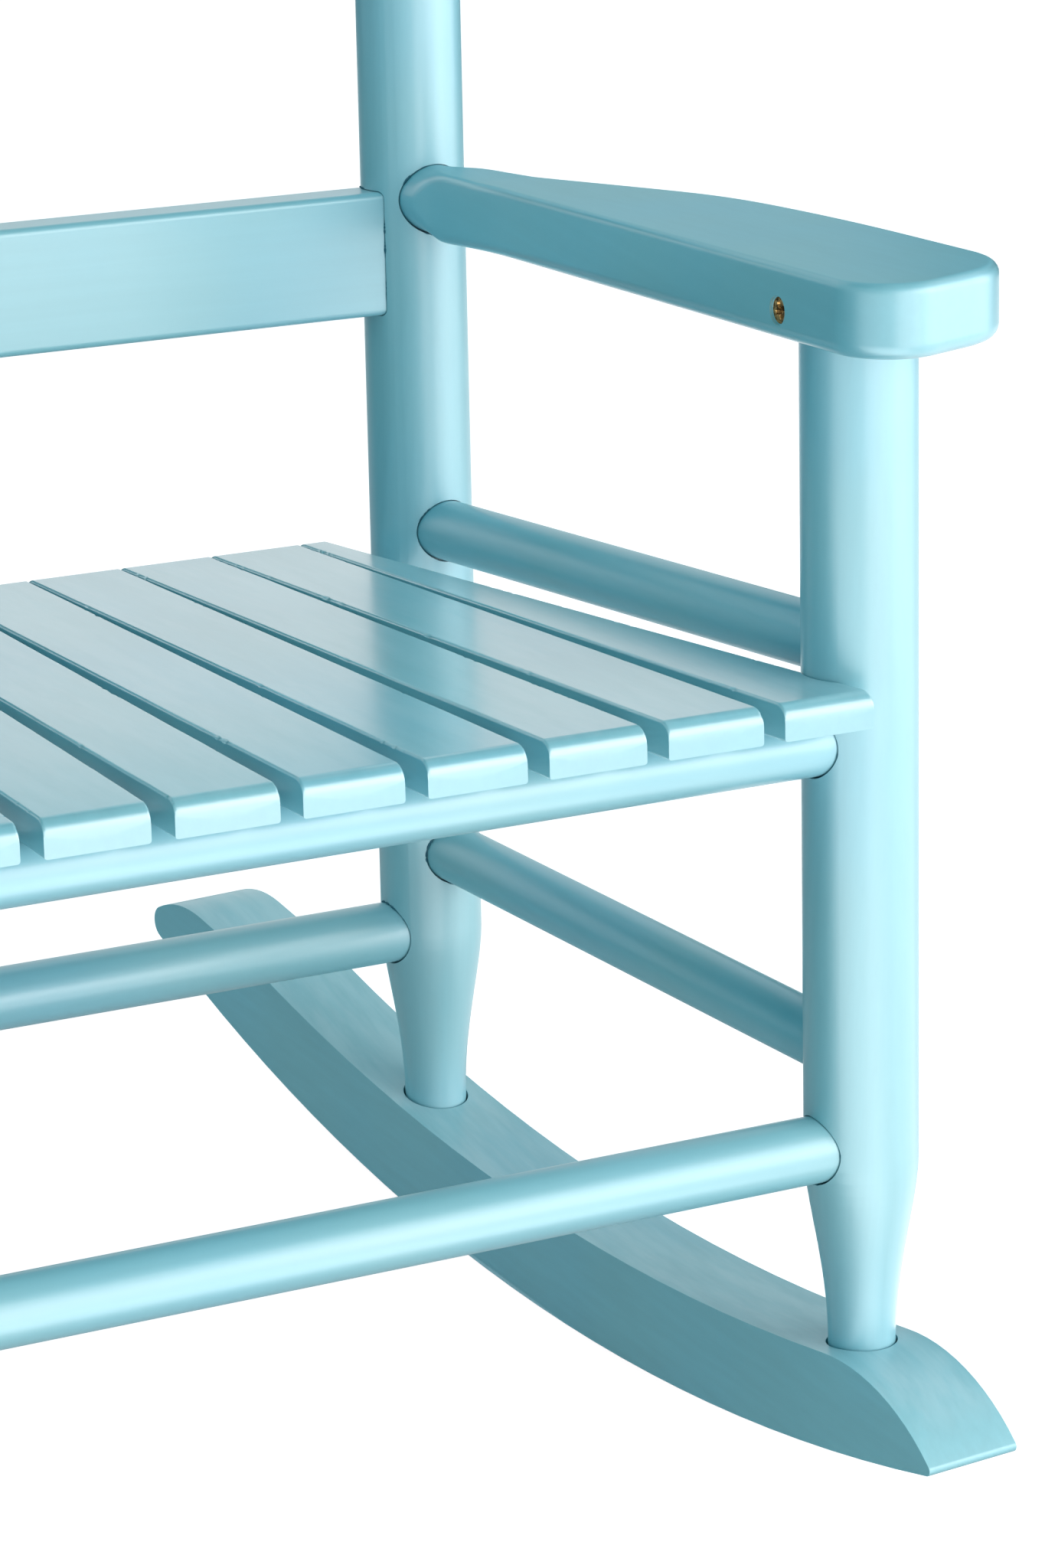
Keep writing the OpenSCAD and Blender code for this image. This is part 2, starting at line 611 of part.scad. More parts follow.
// Outer slat: tapered, because its inner edge follows the fan and its outer edge clears the rear post
module outer_slat() {
    wide = 2 * outer_slat_front_w;
    inner_x = [outer_front_x - outer_slat_front_w, outer_rear_x - outer_slat_rear_w];
    reach = wide / cos(atan((inner_x[0] - inner_x[1]) / (slat_rear_y - slat_front_y)));
    difference() {
        intersection() {
            eased_bar(outer_front_x, outer_rear_x, wide);
            eased_bar(inner_x[0] + reach, inner_x[1] + reach, wide);
            slat_ends();
        }
        translate([front_x, 0, -slat_t - CUT])
            cylinder(r = front_r + notch_gap, h = slat_t + 2 * CUT, $fn = ROUND);
    }
}

// Screw up through a seat rail into slat i
module seat_screw(i, y, gap = 0) {
    translate([slat_centre(i, y), y, seat_rail_z - seat_rail_d / 2]) {
        cylinder(d1 = head_d + 2 * gap, d2 = shank_d + 2 * gap, h = HEAD_CONE, $fn = 32);
        cylinder(d = shank_d + 2 * gap, h = -seat_screw_cover + gap - seat_rail_z + seat_rail_d / 2, $fn = 32);
    }
}

module seat_slat(i) {
    color(AQUA) place() difference() {
        if (slat_is_outer(i)) on_side(i - MIDDLE) outer_slat();
        else inner_slat(i);
        seat_screw(i, 0, screw_gap);
        seat_screw(i, post_depth, screw_gap);
    }
}

// Section of a back rail: a bar with rounded long edges
module back_rail_section(gap) {
    r = back_rail_r;
    for (inset = [[r, 0], [0, r]])
        translate([-back_rail_t / 2 - gap + inset.x, -gap + inset.y])
            square([back_rail_t + 2 * gap - 2 * inset.x, back_rail_h + 2 * gap - 2 * inset.y]);
    for (x = [-1, 1], y = [r - gap, back_rail_h + gap - r])
        translate([x * (back_rail_t / 2 + gap - r), y]) circle(r = r, $fn = 32);
}

module back_rail_bar(level, gap = 0) {
    translate([0, post_depth, back_rail_rise + level * back_rail_pitch]) rotate([90, 0, 90])
        linear_extrude(height = rear_span - 2 * (rear_r - back_rail_seat) + 2 * gap, center = true)
            back_rail_section(gap);
}

// Widened mouth of a back rail's mortise
module back_rail_mouth(level) {
    surface_x = rear_x - sqrt(pow(rear_r, 2) - pow(back_rail_t / 2, 2));
    translate([0, post_depth, back_rail_rise + level * back_rail_pitch]) rotate([90, 0, 90])
        linear_extrude(height = 2 * (surface_x + mouth_depth), center = true)
            back_rail_section(mouth_gap - mouth_drop);
}

module back_rail(level) {
    color(AQUA) place() back_rail_bar(level);
}

// Screw up through a runner into the foot that stands at the given distance behind the front foot
module runner_screw(distance, foot_top, gap = 0) {
    runner_under = circle_under(bottom_c, runner_bottom_r, distance);
    in_runner_plane() translate([distance, runner_under + RUNNER_HEAD_SINK, 0]) rotate([-90, 0, 0]) {
        cylinder(d = shank_d + 2 * gap, h = runner_screw_l + gap, $fn = 32);
        cylinder(d1 = head_d + 2 * gap, d2 = shank_d + 2 * gap, h = HEAD_CONE, $fn = 32);
        if (gap > 0) translate([0, 0, -RUNNER_HEAD_SINK - CUT])
            cylinder(d = head_d + 2 * gap, h = RUNNER_HEAD_SINK + CUT, $fn = 32);
    }
}

module arm_screws() {
    color(BRASS) place() for (side = [-1, 1]) on_side(side) arm_screw();
}

module seat_screws(y) {
    color(STEEL) place() for (i = [1 : SLATS]) seat_screw(i, y);
}

module runner_screws() {
    color(STEEL) place() for (side = [-1, 1]) on_side(side) {
        runner_screw(0, front_foot_top);
        runner_screw(foot_line, rear_foot_top);
    }
}

front_post(-1);  // front_post_left
front_post(1);  // front_post_right
rear_post(-1);  // rear_post_left
rear_post(1);  // rear_post_right
runner(-1);  // runner_left
runner(1);  // runner_right
arm(-1);  // arm_left
arm(1);  // arm_right
seat_front_rail();
seat_rear_rail();
front_stretcher();
rear_stretcher();
upper_side_rail(-1);  // upper_side_rail_left
upper_side_rail(1);  // upper_side_rail_right
lower_side_rail(-1);  // lower_side_rail_left
lower_side_rail(1);  // lower_side_rail_right
seat_slat(1);  // seat_slat_1
seat_slat(2);  // seat_slat_2
seat_slat(3);  // seat_slat_3
seat_slat(4);  // seat_slat_4
seat_slat(5);  // seat_slat_5
seat_slat(6);  // seat_slat_6
seat_slat(7);  // seat_slat_7
seat_slat(8);  // seat_slat_8
seat_slat(9);  // seat_slat_9
back_rail(0);  // back_rail_lower
back_rail(1);  // back_rail_middle
back_rail(2);  // back_rail_top
arm_screws();
seat_screws(0);  // seat_screws_front
seat_screws(post_depth);  // seat_screws_rear
runner_screws();
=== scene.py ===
"""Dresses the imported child's rocking chair: satin aqua paint over turned and sawn wood, on a white floor."""

import json
import math
from contextlib import contextmanager

import bmesh
import bpy
from mathutils import Matrix, Vector


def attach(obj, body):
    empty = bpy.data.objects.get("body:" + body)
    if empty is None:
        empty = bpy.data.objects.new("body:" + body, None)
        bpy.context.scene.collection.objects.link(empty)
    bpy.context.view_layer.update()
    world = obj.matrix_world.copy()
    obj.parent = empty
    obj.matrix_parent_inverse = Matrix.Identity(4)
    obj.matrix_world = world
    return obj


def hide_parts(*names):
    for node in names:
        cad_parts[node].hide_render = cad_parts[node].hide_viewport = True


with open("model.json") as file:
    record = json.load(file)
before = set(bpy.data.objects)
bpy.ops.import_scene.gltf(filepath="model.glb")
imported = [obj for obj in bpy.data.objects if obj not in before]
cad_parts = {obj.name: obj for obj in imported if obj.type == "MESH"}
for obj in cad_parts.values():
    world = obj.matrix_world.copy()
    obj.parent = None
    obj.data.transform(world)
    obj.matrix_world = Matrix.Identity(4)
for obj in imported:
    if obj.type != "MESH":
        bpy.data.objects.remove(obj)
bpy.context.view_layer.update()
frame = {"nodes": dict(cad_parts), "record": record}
nodes = frame["nodes"]
scene = bpy.context.scene

MM = 0.001
TAU = 2 * math.pi
STILL = Matrix.Identity(4)
# Points nearer than this are one point
TOUCHING = 0.001 * MM

# The chair was drawn with its seat level; the record's seat mount tells how it leans at rest.
# "Level" points below have x across, y back from the front posts' axes and z up from the seat's top,
# where the mount lies MOUNT_Y back.
seat_mount = frame["record"]["mounts"][0]
LEAN = math.atan2(seat_mount["axis"][1], seat_mount["axis"][2])
MOUNT_Y = 120 * MM
STAND = (
    Matrix.Translation(seat_mount["pos_m"])
    @ Matrix.Rotation(-LEAN, 4, "X")
    @ Matrix.Translation((0, -MOUNT_Y, 0))
)
TO_LEVEL = STAND.inverted()


class Sockets:
    """Adds nodes to a tree and feeds their inputs by name, so that a recipe reads from left to right.

    What feeds an input is a fixed value or the output of another node.
    """

    def __init__(self, tree):
        self.tree = tree

    def feed(self, socket, value):
        if isinstance(value, bpy.types.NodeSocket):
            self.tree.links.new(value, socket)
        else:
            socket.default_value = value

    def add(self, kind, feeds=None, **settings):
        node = self.tree.nodes.new(kind)
        for key, value in settings.items():
            setattr(node, key, value)
        for key, value in (feeds or {}).items():
            self.feed(next(i for i in node.inputs if i.name == key and i.enabled), value)
        return node

    def result(self, kind, feeds=None, **settings):
        """The first output in use of a new node."""
        return next(o for o in self.add(kind, feeds, **settings).outputs if o.enabled)

    def group(self, tree, feeds):
        """The outputs of a shader group, placed with its own values."""
        return self.add("ShaderNodeGroup", feeds, node_tree=tree).outputs

    def surface(self, shader, end="ShaderNodeOutputMaterial"):
        self.add(end, {"Surface": shader})

    def math(self, operation, *terms):
        node = self.add("ShaderNodeMath", operation=operation)
        for socket, term in zip(node.inputs, terms):
            self.feed(socket, term)
        return node.outputs[0]

    def plus(self, a, b):
        return self.math("ADD", a, b)

    def minus(self, a, b):
        return self.math("SUBTRACT", a, b)

    def times(self, value, *factors):
        for factor in factors:
            value = self.math("MULTIPLY", value, factor)
        return value

    def between(self, amount, a, b):
        """The value that lies the given part of the way from a to b."""
        return self.math("MULTIPLY_ADD", amount, self.minus(b, a), a)

    def span(self, value, low, high, to_low=0.0, to_high=1.0, smooth=True):
        """Value carried from one span to another, clamped."""
        feeds = {"Value": value, "From Min": low, "From Max": high, "To Min": to_low, "To Max": to_high}
        easing = "SMOOTHSTEP" if smooth else "LINEAR"
        return self.result("ShaderNodeMapRange", feeds, interpolation_type=easing)

    def vector(self, x=0.0, y=0.0, z=0.0):
        return self.result("ShaderNodeCombineXYZ", {"X": x, "Y": y, "Z": z})

    def parts(self, vector):
        """X, Y and Z of a vector, by name."""
        return self.add("ShaderNodeSeparateXYZ", {"Vector": vector}).outputs

    def blend(self, amount, a, b, mode="MIX"):
        feeds = {"Factor": amount, "A": a, "B": b}
        return self.result("ShaderNodeMix", feeds, data_type="RGBA", blend_type=mode)

    def noise(self, where, scale=1.0, detail=2.0, roughness=0.5):
        feeds = {"Vector": where, "Scale": scale, "Detail": detail, "Roughness": roughness}
        return self.result("ShaderNodeTexNoise", feeds)

    def stretch(self, where, scale=(1, 1, 1), turn=(0, 0, 0), shift=(0, 0, 0)):
        feeds = {"Vector": where, "Scale": scale, "Rotation": turn, "Location": shift}
        return self.result("ShaderNodeMapping", feeds)


def emptied(owner):
    """Sockets for the node tree of a material or a world, with nothing in it yet."""
    owner.use_nodes = True
    owner.node_tree.nodes.clear()
    return Sockets(owner.node_tree)


def shader_group(name, inputs, outputs, recipe):
    """A shader node group with named sockets; recipe(sockets, given) returns its outputs by name."""
    tree = bpy.data.node_groups.new(name, "ShaderNodeTree")
    for way, labels in (("INPUT", inputs), ("OUTPUT", outputs)):
        for label, kind in labels.items():
            tree.interface.new_socket(label, in_out=way, socket_type="NodeSocket" + kind)
    s = Sockets(tree)
    s.add("NodeGroupOutput", recipe(s, tree.nodes.new("NodeGroupInput").outputs))
    return tree


# Marks per metre along a piece and across it: grain, brush strokes and the painted sheen with dust run
# lengthwise
FINE_GRAIN = (7, 260, 260)
BROAD_GRAIN = (3, 70, 70)
BRUSH_STROKES = (12, 300, 300)
SHEEN_AND_DUST_PATCHES = (9, 60, 60)
HUES_PER_M = 9.0
PEEL_PER_M = 420.0


def grain_recipe(s, given):
    """Wood grain that telegraphs through paint: long faint streaks along the piece's own x."""
    fine = s.noise(s.stretch(given["Along"], FINE_GRAIN), detail=3.0, roughness=0.6)
    broad = s.noise(s.stretch(given["Along"], BROAD_GRAIN))
    return {"Streaks": s.times(s.minus(s.between(0.4, fine, broad), 0.5), given["Strength"])}


grain_group = shader_group(
    "grain under paint",
    {"Along": "Vector", "Strength": "Float"},
    {"Streaks": "Float"},
    grain_recipe,
)


def paint_recipe(s, given):
    """Brushed satin paint: its hue drifts between two mixes, grain shows faintly, and it has orange peel."""
    where = given["Along"]
    drift = s.span(s.noise(where, HUES_PER_M), 0.35, 0.65)
    tone = s.blend(drift, given["Paint"], given["Second mix"])
    shade = s.plus(1.0, given["Streaks"])
    grey = s.result("ShaderNodeCombineColor", {"Red": shade, "Green": shade, "Blue": shade})
    peel = s.noise(where, PEEL_PER_M, detail=1.0)
    brush = s.noise(s.stretch(where, BRUSH_STROKES))
    return {
        "Color": s.blend(1.0, tone, grey, mode="MULTIPLY"),
        "Height": s.plus(s.times(peel, 0.35), s.times(brush, 0.65)),
    }


paint_group = shader_group(
    "brushed paint",
    {"Along": "Vector", "Paint": "Color", "Second mix": "Color", "Streaks": "Float"},
    {"Color": "Color", "Height": "Float"},
    paint_recipe,
)


def upward_sheen_recipe(s, given):
    """Whitish painted sheen on faces that look up, with some rubbed paint and dust, broken into streaks along
    the piece.
    """
    up = s.parts(s.add("ShaderNodeNewGeometry").outputs["Normal"])["Z"]
    facing = s.span(up, 0.8, 0.98)
    patches = s.noise(s.stretch(given["Along"], SHEEN_AND_DUST_PATCHES), detail=4.0, roughness=0.65)
    cover = s.span(patches, 0.36, 0.66, 0.15, 1.0)
    mask = s.times(facing, cover, given["Amount"])
    return {"Color": s.blend(mask, given["Color"], given["Sheen and dust"]), "Upward": facing}


upward_sheen_group = shader_group(
    "painted sheen and dust on upward faces",
    {"Along": "Vector", "Color": "Color", "Sheen and dust": "Color", "Amount": "Float"},
    {"Color": "Color", "Upward": "Float"},
    upward_sheen_recipe,
)


AQUA = (0.270, 0.540, 0.622)
AQUA_GREENER = (0.290, 0.538, 0.592)
# Whitish colour of the painted sheen, with some dust, that upward faces take on
SHEEN_AND_DUST = (0.56, 0.70, 0.74, 1)
PEEL_STRENGTH, PEEL_HEIGHT = 0.08, 0.4 * MM
PAINT_IOR = 1.5

# How a piece's grain lies: the turn that brings it onto the x axis of the streaks
UPRIGHT = (0, math.pi / 2, 0)
CROSSWISE = (0, 0, 0)
LENGTHWISE = (0, 0, math.pi / 2)


def painted_wood(name, lie, shift=0.0, sheen_and_dust=0.0, dull=0.0, roughness=0.4, streaks=0.16,
                 gloss=0.9, film=0.5, film_roughness=0.28, tint=(1, 1, 1)):
    """Aqua paint on one kind of piece, with its streaks along the grain.

    shift: which part of the grain the piece shows. bloom: how whitish its upward faces are, a painted sheen
    with some dust, and dull: how far they have lost their gloss. film: how much clear film lies on the paint.
    """
    material = bpy.data.materials.new(name)
    s = emptied(material)
    here = s.add("ShaderNodeTexCoord").outputs["Object"]
    along = s.stretch(here, turn=lie, shift=(shift, shift * 0.7, -shift))
    grain = s.group(grain_group, {"Along": along, "Strength": streaks})
    first, second = (tuple(a * b for a, b in zip(mix, tint)) + (1,) for mix in (AQUA, AQUA_GREENER))
    paint = s.group(paint_group, {
        "Along": along,
        "Paint": first,
        "Second mix": second,
        "Streaks": grain["Streaks"],
    })
    colour = paint["Color"]
    # Upward faces are painted whiter: a painted sheen, with some dust
    if sheen_and_dust or dull:
        top_sheen = s.group(upward_sheen_group, {"Along": along, "Color": colour, "Sheen and dust": SHEEN_AND_DUST, "Amount": sheen_and_dust})
        colour = top_sheen["Color"]
    if dull:
        roughness = s.math("MULTIPLY_ADD", top_sheen["Upward"], 0.2 * dull, roughness)
        film = s.times(s.math("MULTIPLY_ADD", top_sheen["Upward"], -dull, 1.0), film)
    peel = {"Strength": PEEL_STRENGTH, "Distance": PEEL_HEIGHT, "Height": paint["Height"]}
    s.surface(s.result("ShaderNodeBsdfPrincipled", {
        "Base Color": colour,
        "Roughness": roughness,
        "Normal": s.result("ShaderNodeBump", peel),
        "IOR": PAINT_IOR,
        "Specular IOR Level": gloss,
        "Coat Weight": film,
        "Coat Roughness": film_roughness,
    }))
    return material


def screw_metal(name, colour, grain, darkest):
    """Tarnished metal. grain: dark, rough patches per metre. darkest: their share of the colour."""
    material = bpy.data.materials.new(name)
    s = emptied(material)
    tarnish = s.noise(s.add("ShaderNodeTexCoord").outputs["Object"], grain, detail=3.0)
    dark = tuple(darkest * c for c in colour) + (1,)
    s.surface(s.result("ShaderNodeBsdfPrincipled", {
        "Base Color": s.blend(s.span(tarnish, 0.35, 0.65), colour + (1,), dark),
        "Roughness": s.span(tarnish, 0.3, 0.7, 0.35, 0.65),
        "Metallic": 1.0,
    }))
    return material


def in_scene(name, data):
    """A new object in the scene, at the origin."""
    item = bpy.data.objects.new(name, data)
    scene.collection.objects.link(item)
    return item


@contextmanager
def opened(mesh):
    """The mesh as a body to work on, put back when the work is done."""
    body = bmesh.new()
    body.from_mesh(mesh)
    yield body
    body.to_mesh(mesh)
    body.free()


def make_plain(piece, modifier):
    """Makes the modifier's result the piece's own mesh."""
    finished = bpy.data.meshes.new_from_object(piece.evaluated_get(bpy.context.evaluated_depsgraph_get()))
    piece.modifiers.remove(modifier)
    piece.data = finished


SOCKET_KINDS = {float: "NodeSocketFloat", int: "NodeSocketInt", bool: "NodeSocketBool"}


def geometry_tree(name, sizes, recipe):
    """A Geometry Nodes tree with named inputs; recipe(sockets, given) returns the finished geometry."""
    tree = bpy.data.node_groups.new(name, "GeometryNodeTree")
    plug = tree.interface.new_socket
    plug("Geometry", in_out="INPUT", socket_type="NodeSocketGeometry")
    for label, value in sizes.items():
        plug(label, in_out="INPUT", socket_type=SOCKET_KINDS[type(value)]).default_value = value
    plug("Paint", in_out="INPUT", socket_type="NodeSocketMaterial")
    plug("Geometry", in_out="OUTPUT", socket_type="NodeSocketGeometry")
    s = Sockets(tree)
    given = tree.nodes.new("NodeGroupInput").outputs
    real = s.result("GeometryNodeRealizeInstances", {"Geometry": recipe(s, given)})
    painted = s.result("GeometryNodeSetMaterial", {"Geometry": real, "Material": given["Paint"]})
    s.add("NodeGroupOutput", {"Geometry": painted})
    return tree


def grow(tree, name, values, start=None):
    """Runs a geometry tree, on a starting mesh if it needs one, and returns the plain object it makes."""
    piece = in_scene(name, start or bpy.data.meshes.new(name))
    modifier = piece.modifiers.new("grown", "NODES")
    modifier.node_group = tree
    for item in tree.interface.items_tree:
        if item.in_out == "INPUT" and item.name in values:
            modifier[item.identifier] = values[item.name]
    make_plain(piece, modifier)
    piece.data.name = name
    return piece


def settle(piece, sharp=35.0, place=STAND):
    """Puts a piece in its place, with its faces outwards and smooth between its sharp edges."""
    with opened(piece.data) as body:
        bmesh.ops.recalc_face_normals(body, faces=body.faces)
    piece.data.shade_smooth()
    piece.data.set_sharp_from_angle(angle=math.radians(sharp))
    piece.data.transform(place)


def keep_flats(piece):
    """Lets the large flat faces set the shading, so that they mirror the room without a bend."""
    weigh = piece.modifiers.new("flat faces stay flat", "WEIGHTED_NORMAL")
    weigh.keep_sharp = True
    weigh.weight = 80


def eased_copy(node, name, edge):
    """A merged copy of a CAD node with rounded-over edges and smooth faces, which stands for the node."""
    sharp = math.radians(30)
    mesh = nodes[node].data.copy()
    with opened(mesh) as body:
        bmesh.ops.remove_doubles(body, verts=body.verts, dist=TOUCHING)
        bmesh.ops.dissolve_limit(body, angle_limit=math.radians(0.5), verts=body.verts, edges=body.edges)
    mesh.name = name
    mesh.shade_smooth()
    mesh.set_sharp_from_angle(angle=sharp)
    piece = in_scene(name, mesh)
    bevel = piece.modifiers.new("rounded edges", "BEVEL")
    bevel.width = edge
    bevel.segments = 3
    bevel.limit_method = "ANGLE"
    bevel.angle_limit = sharp
    keep_flats(piece)
    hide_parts(node)
    return piece


def finish_piece(piece, material):
    piece.data.materials.clear()
    piece.data.materials.append(material)
    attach(piece, "root")


def paint_node(node, material):
    """Gives a CAD node its finish without touching its mesh."""
    for place in nodes[node].material_slots:
        place.material = material


# Sizes of the right arm in millimetres, x outwards from the front post's axis and y back from it.
# The plan runs from the nose's circle along the front edge to the paddle's corner, then along the side.
FRONT_X, REAR_X = 195.0, 169.0
NOSE, NOSE_R = (-10.0, -34.0), 20.0
CORNER, CORNER_R = (1.3, -13.0), 36.0
INNER_SLANT = 1.0 / 261.0
# Knots of the side: distance back, width outwards, slope
SIDE = (
    (28.0, 37.3, 0.0),
    (100.0, 33.8, -0.10),
    (145.0, 24.0, -0.39),
    (205.0, -1.9, -0.42),
    (242.0, -14.0, -0.10),
)
FIRST_KNOT = SIDE[0][0]
ARM_UNDER, ARM_TOP = 110.0, 134.0
# Radii of the long edges, and of both top edges at the nose's tip
INNER_TOP_R, OUTER_TOP_R, UNDER_R, TIP_R = 2.4, 4.0, 4.5, 3.2
# The round end: its axis' height, its radius, where it is quite round, and where it ends in the post
ROUND_Z, ROUND_R, ROUND_FROM, ROUND_TO = 123.6, 12.0, 241.0, 247.0
TENON_R, TENON_TO = 8.0, 256.5
# On the way to the round end, each from its own place back and by so much: the inner side swells,
# the top rises, the edges get rounder, the underside has a cove, and the section turns into a circle
SWELL_FROM, SWELL = 185.0, 9.0
RISE_FROM, RISE_TO, RISE = 206.0, ROUND_FROM - 5, 1.6
ROUNDER_FROM, INNER_ROUNDER, OUTER_ROUNDER, UNDER_ROUNDER = 222.0, 6.0, 5.0, 4.0
COVE_FROM, COVE_TO, COVE = 226.0, 239.0, 1.6
CIRCLE_FROM = 228.0
# Sections: their number up to the first knot, then their distance, finer where the arm changes more
NOSE_SECTIONS = 46
FINE_FROM, COARSE_STEP, FINE_STEP = 176.0, 3.0, 1.25
# Faces round each edge. The first and last row on a flat lie close to the edges, so that it stays flat.
EDGE_FACES = 6
CLOSE, CLOSE_SHARE = 0.6, 0.16
# Of the circle that a section turns into, what each edge and each flat takes, in degrees
EDGE_TURN, FLAT_TURN = 60.0, 30.0
# Points of the skin nearer than this are one point, as at the nose's tip
MERGE_ARM = 0.004
POST_TENON_R, POST_TENON_L = 11.1, 16.1
SCREW_Z, SCREW_L, SHANK_R = 119.5, 34.0, 1.8
RECESS_R, RECESS_DEPTH, HEAD_R, HEAD_CONE = 4.7, 1.05, 4.4, 2.5
# How far a cutter starts outside what it cuts
CLEAR, SCREW_CLEAR = 1.0, 5.0
LATHE_SIDES = 64


def smooth(value, low, high):
    """0 up to low and 1 from high on, with an S-shaped rise between them."""
    part = min(max((value - low) / (high - low), 0.0), 1.0)
    return part * part * (3 - 2 * part)


def side_at(y):
    """Width of the paddle at y and its slope, from the cubic between two knots."""
    for (y0, x0, m0), (y1, x1, m1) in zip(SIDE, SIDE[1:]):
        if y <= y1:
            break
    span = y1 - y0
    t = min(max((y - y0) / span, 0.0), 1.0)
    x = (x0 * (1 + 2 * t) * (1 - t) ** 2 + x1 * t * t * (3 - 2 * t)
         + span * (m0 * t * (1 - t) ** 2 - m1 * t * t * (1 - t)))
    slope = ((x1 - x0) / span * 6 * t * (1 - t)
             + m0 * (1 - t) * (1 - 3 * t) + m1 * t * (3 * t - 2))
    return x, slope


def circle_side(centre, radius, y, hand):
    return centre[0] + hand * math.sqrt(max(radius * radius - (y - centre[1]) ** 2, 0.0))


def inner_edge(y, inset):
    if y < NOSE[1]:
        return circle_side(NOSE, NOSE_R - inset, y, -1)
    swell = SWELL * max(0.0, (y - SWELL_FROM) / (ROUND_FROM - SWELL_FROM)) ** 2
    return NOSE[0] - NOSE_R + inset + (y - NOSE[1]) * INNER_SLANT - swell


def outer_edge(y, inset):
    """Round the nose, straight along the front edge, round the paddle's corner, and back along the side."""
    apart = math.hypot(CORNER[0] - NOSE[0], CORNER[1] - NOSE[1])
    normal = math.atan2(CORNER[1] - NOSE[1], CORNER[0] - NOSE[0]) - math.acos((NOSE_R - CORNER_R) / apart)
    nose_r, corner_r = NOSE_R - inset, CORNER_R - inset
    nose_end = NOSE[1] + nose_r * math.sin(normal)
    corner_start = CORNER[1] + corner_r * math.sin(normal)
    if y < nose_end:
        return circle_side(NOSE, nose_r, y, 1)
    if y < corner_start:
        x0, x1 = NOSE[0] + nose_r * math.cos(normal), CORNER[0] + corner_r * math.cos(normal)
        return x0 + (x1 - x0) * (y - nose_end) / (corner_start - nose_end)
    if y < CORNER[1]:
        return circle_side(CORNER, corner_r, y, 1)
    x, slope = side_at(y)
    return x - inset * math.hypot(1, slope)


def arm_section(place, in_nose=False):
    """Points round the arm at one place, in order: up the inner side, over the top and back underneath.

    The place is a plain y. Up to the first knot it is a share of the way from the nose's tip instead,
    because the tip lies further back for a point that is set in from the edge.
    """
    back = FIRST_KNOT if in_nose else place
    behind_tip = min(place * 2.0, 1.0) if in_nose else 1.0
    rounder = smooth(back, ROUNDER_FROM, ROUND_FROM)
    inner_r = TIP_R + (INNER_TOP_R - TIP_R) * behind_tip + INNER_ROUNDER * rounder
    outer_r = TIP_R + (OUTER_TOP_R - TIP_R) * behind_tip + OUTER_ROUNDER * rounder
    under_r = UNDER_R + UNDER_ROUNDER * rounder
    under = ARM_UNDER + COVE * smooth(back, COVE_FROM, COVE_TO)
    top = ARM_TOP + RISE * max(0.0, min(1.0, (back - RISE_FROM) / (RISE_TO - RISE_FROM)))

    def at(edge, inset, z):
        y = place
        if in_nose:
            tip = NOSE[1] - NOSE_R + inset
            y = tip + (FIRST_KNOT - tip) * place * place
        return Vector((FRONT_X + edge(y, inset), y, z))

    def rounded(edge, radius, start):
        arc = []
        for i in range(EDGE_FACES + 1):
            angle = math.radians(start - 90.0 * i / EDGE_FACES)
            if start in (180, 90):  # the two edges on top
                level = top - radius * (1 - math.sin(angle))
            else:
                level = under + radius * (1 + math.sin(angle))
            arc.append(at(edge, radius * (1 - abs(math.cos(angle))), level))
        return arc

    arcs = [rounded(inner_edge, under_r, 270), rounded(inner_edge, inner_r, 180),
            rounded(outer_edge, outer_r, 90), rounded(outer_edge, under_r, 0)]
    points, angles = [], []
    for i, arc in enumerate(arcs):
        first = 270 - 90 * i - FLAT_TURN / 2
        for k, point in enumerate(arc):
            points.append(point)
            angles.append(first - EDGE_TURN * k / EDGE_FACES)
        start, end = arc[-1], arcs[(i + 1) % 4][0]
        length = (end - start).length
        close = CLOSE / length if length > CLOSE / CLOSE_SHARE else CLOSE_SHARE
        shares = (close, 0.2, 0.4, 0.6, 0.8, 1 - close)
        for k, share in enumerate(shares, 1):
            points.append(start.lerp(end, share))
            angles.append(first - EDGE_TURN - FLAT_TURN * k / (len(shares) + 1))
    if back < CIRCLE_FROM:
        return points
    circle = [
        Vector((REAR_X + ROUND_R * math.cos(a), back, ROUND_Z + ROUND_R * math.sin(a)))
        for a in map(math.radians, angles)
    ]
    return [p.lerp(q, smooth(back, CIRCLE_FROM, ROUND_FROM)) for p, q in zip(points, circle)]


def join_rings(body, rings):
    """Faces between each ring of points and the next."""
    for low, high in zip(rings, rings[1:]):
        for i in range(len(low)):
            j = (i + 1) % len(low)
            body.faces.new((low[i], low[j], high[j], high[i]))


def lathe(name, profile, start, turn):
    """A closed body turned about z from (height, radius) steps in millimetres, then turned and moved."""
    mesh = bpy.data.meshes.new(name)
    angles = [TAU * i / LATHE_SIDES for i in range(LATHE_SIDES)]
    with opened(mesh) as body:
        rings = [
            [body.verts.new((r * MM * math.cos(a), r * MM * math.sin(a), z * MM)) for a in angles]
            for z, r in profile
        ]
        join_rings(body, rings)
        body.faces.new(list(reversed(rings[0])))
        body.faces.new(rings[-1])
        body.transform(Matrix.Translation(Vector(start) * MM) @ turn)
    return in_scene(name, mesh)


def cut_away(piece, cutter):
    """Takes the cutter's space out of the piece for good."""
    cut = piece.modifiers.new("cut", "BOOLEAN")
    cut.operation = "DIFFERENCE"
    cut.solver = "EXACT"
    cut.object = cutter
    make_plain(piece, cut)
    bpy.data.objects.remove(cutter)


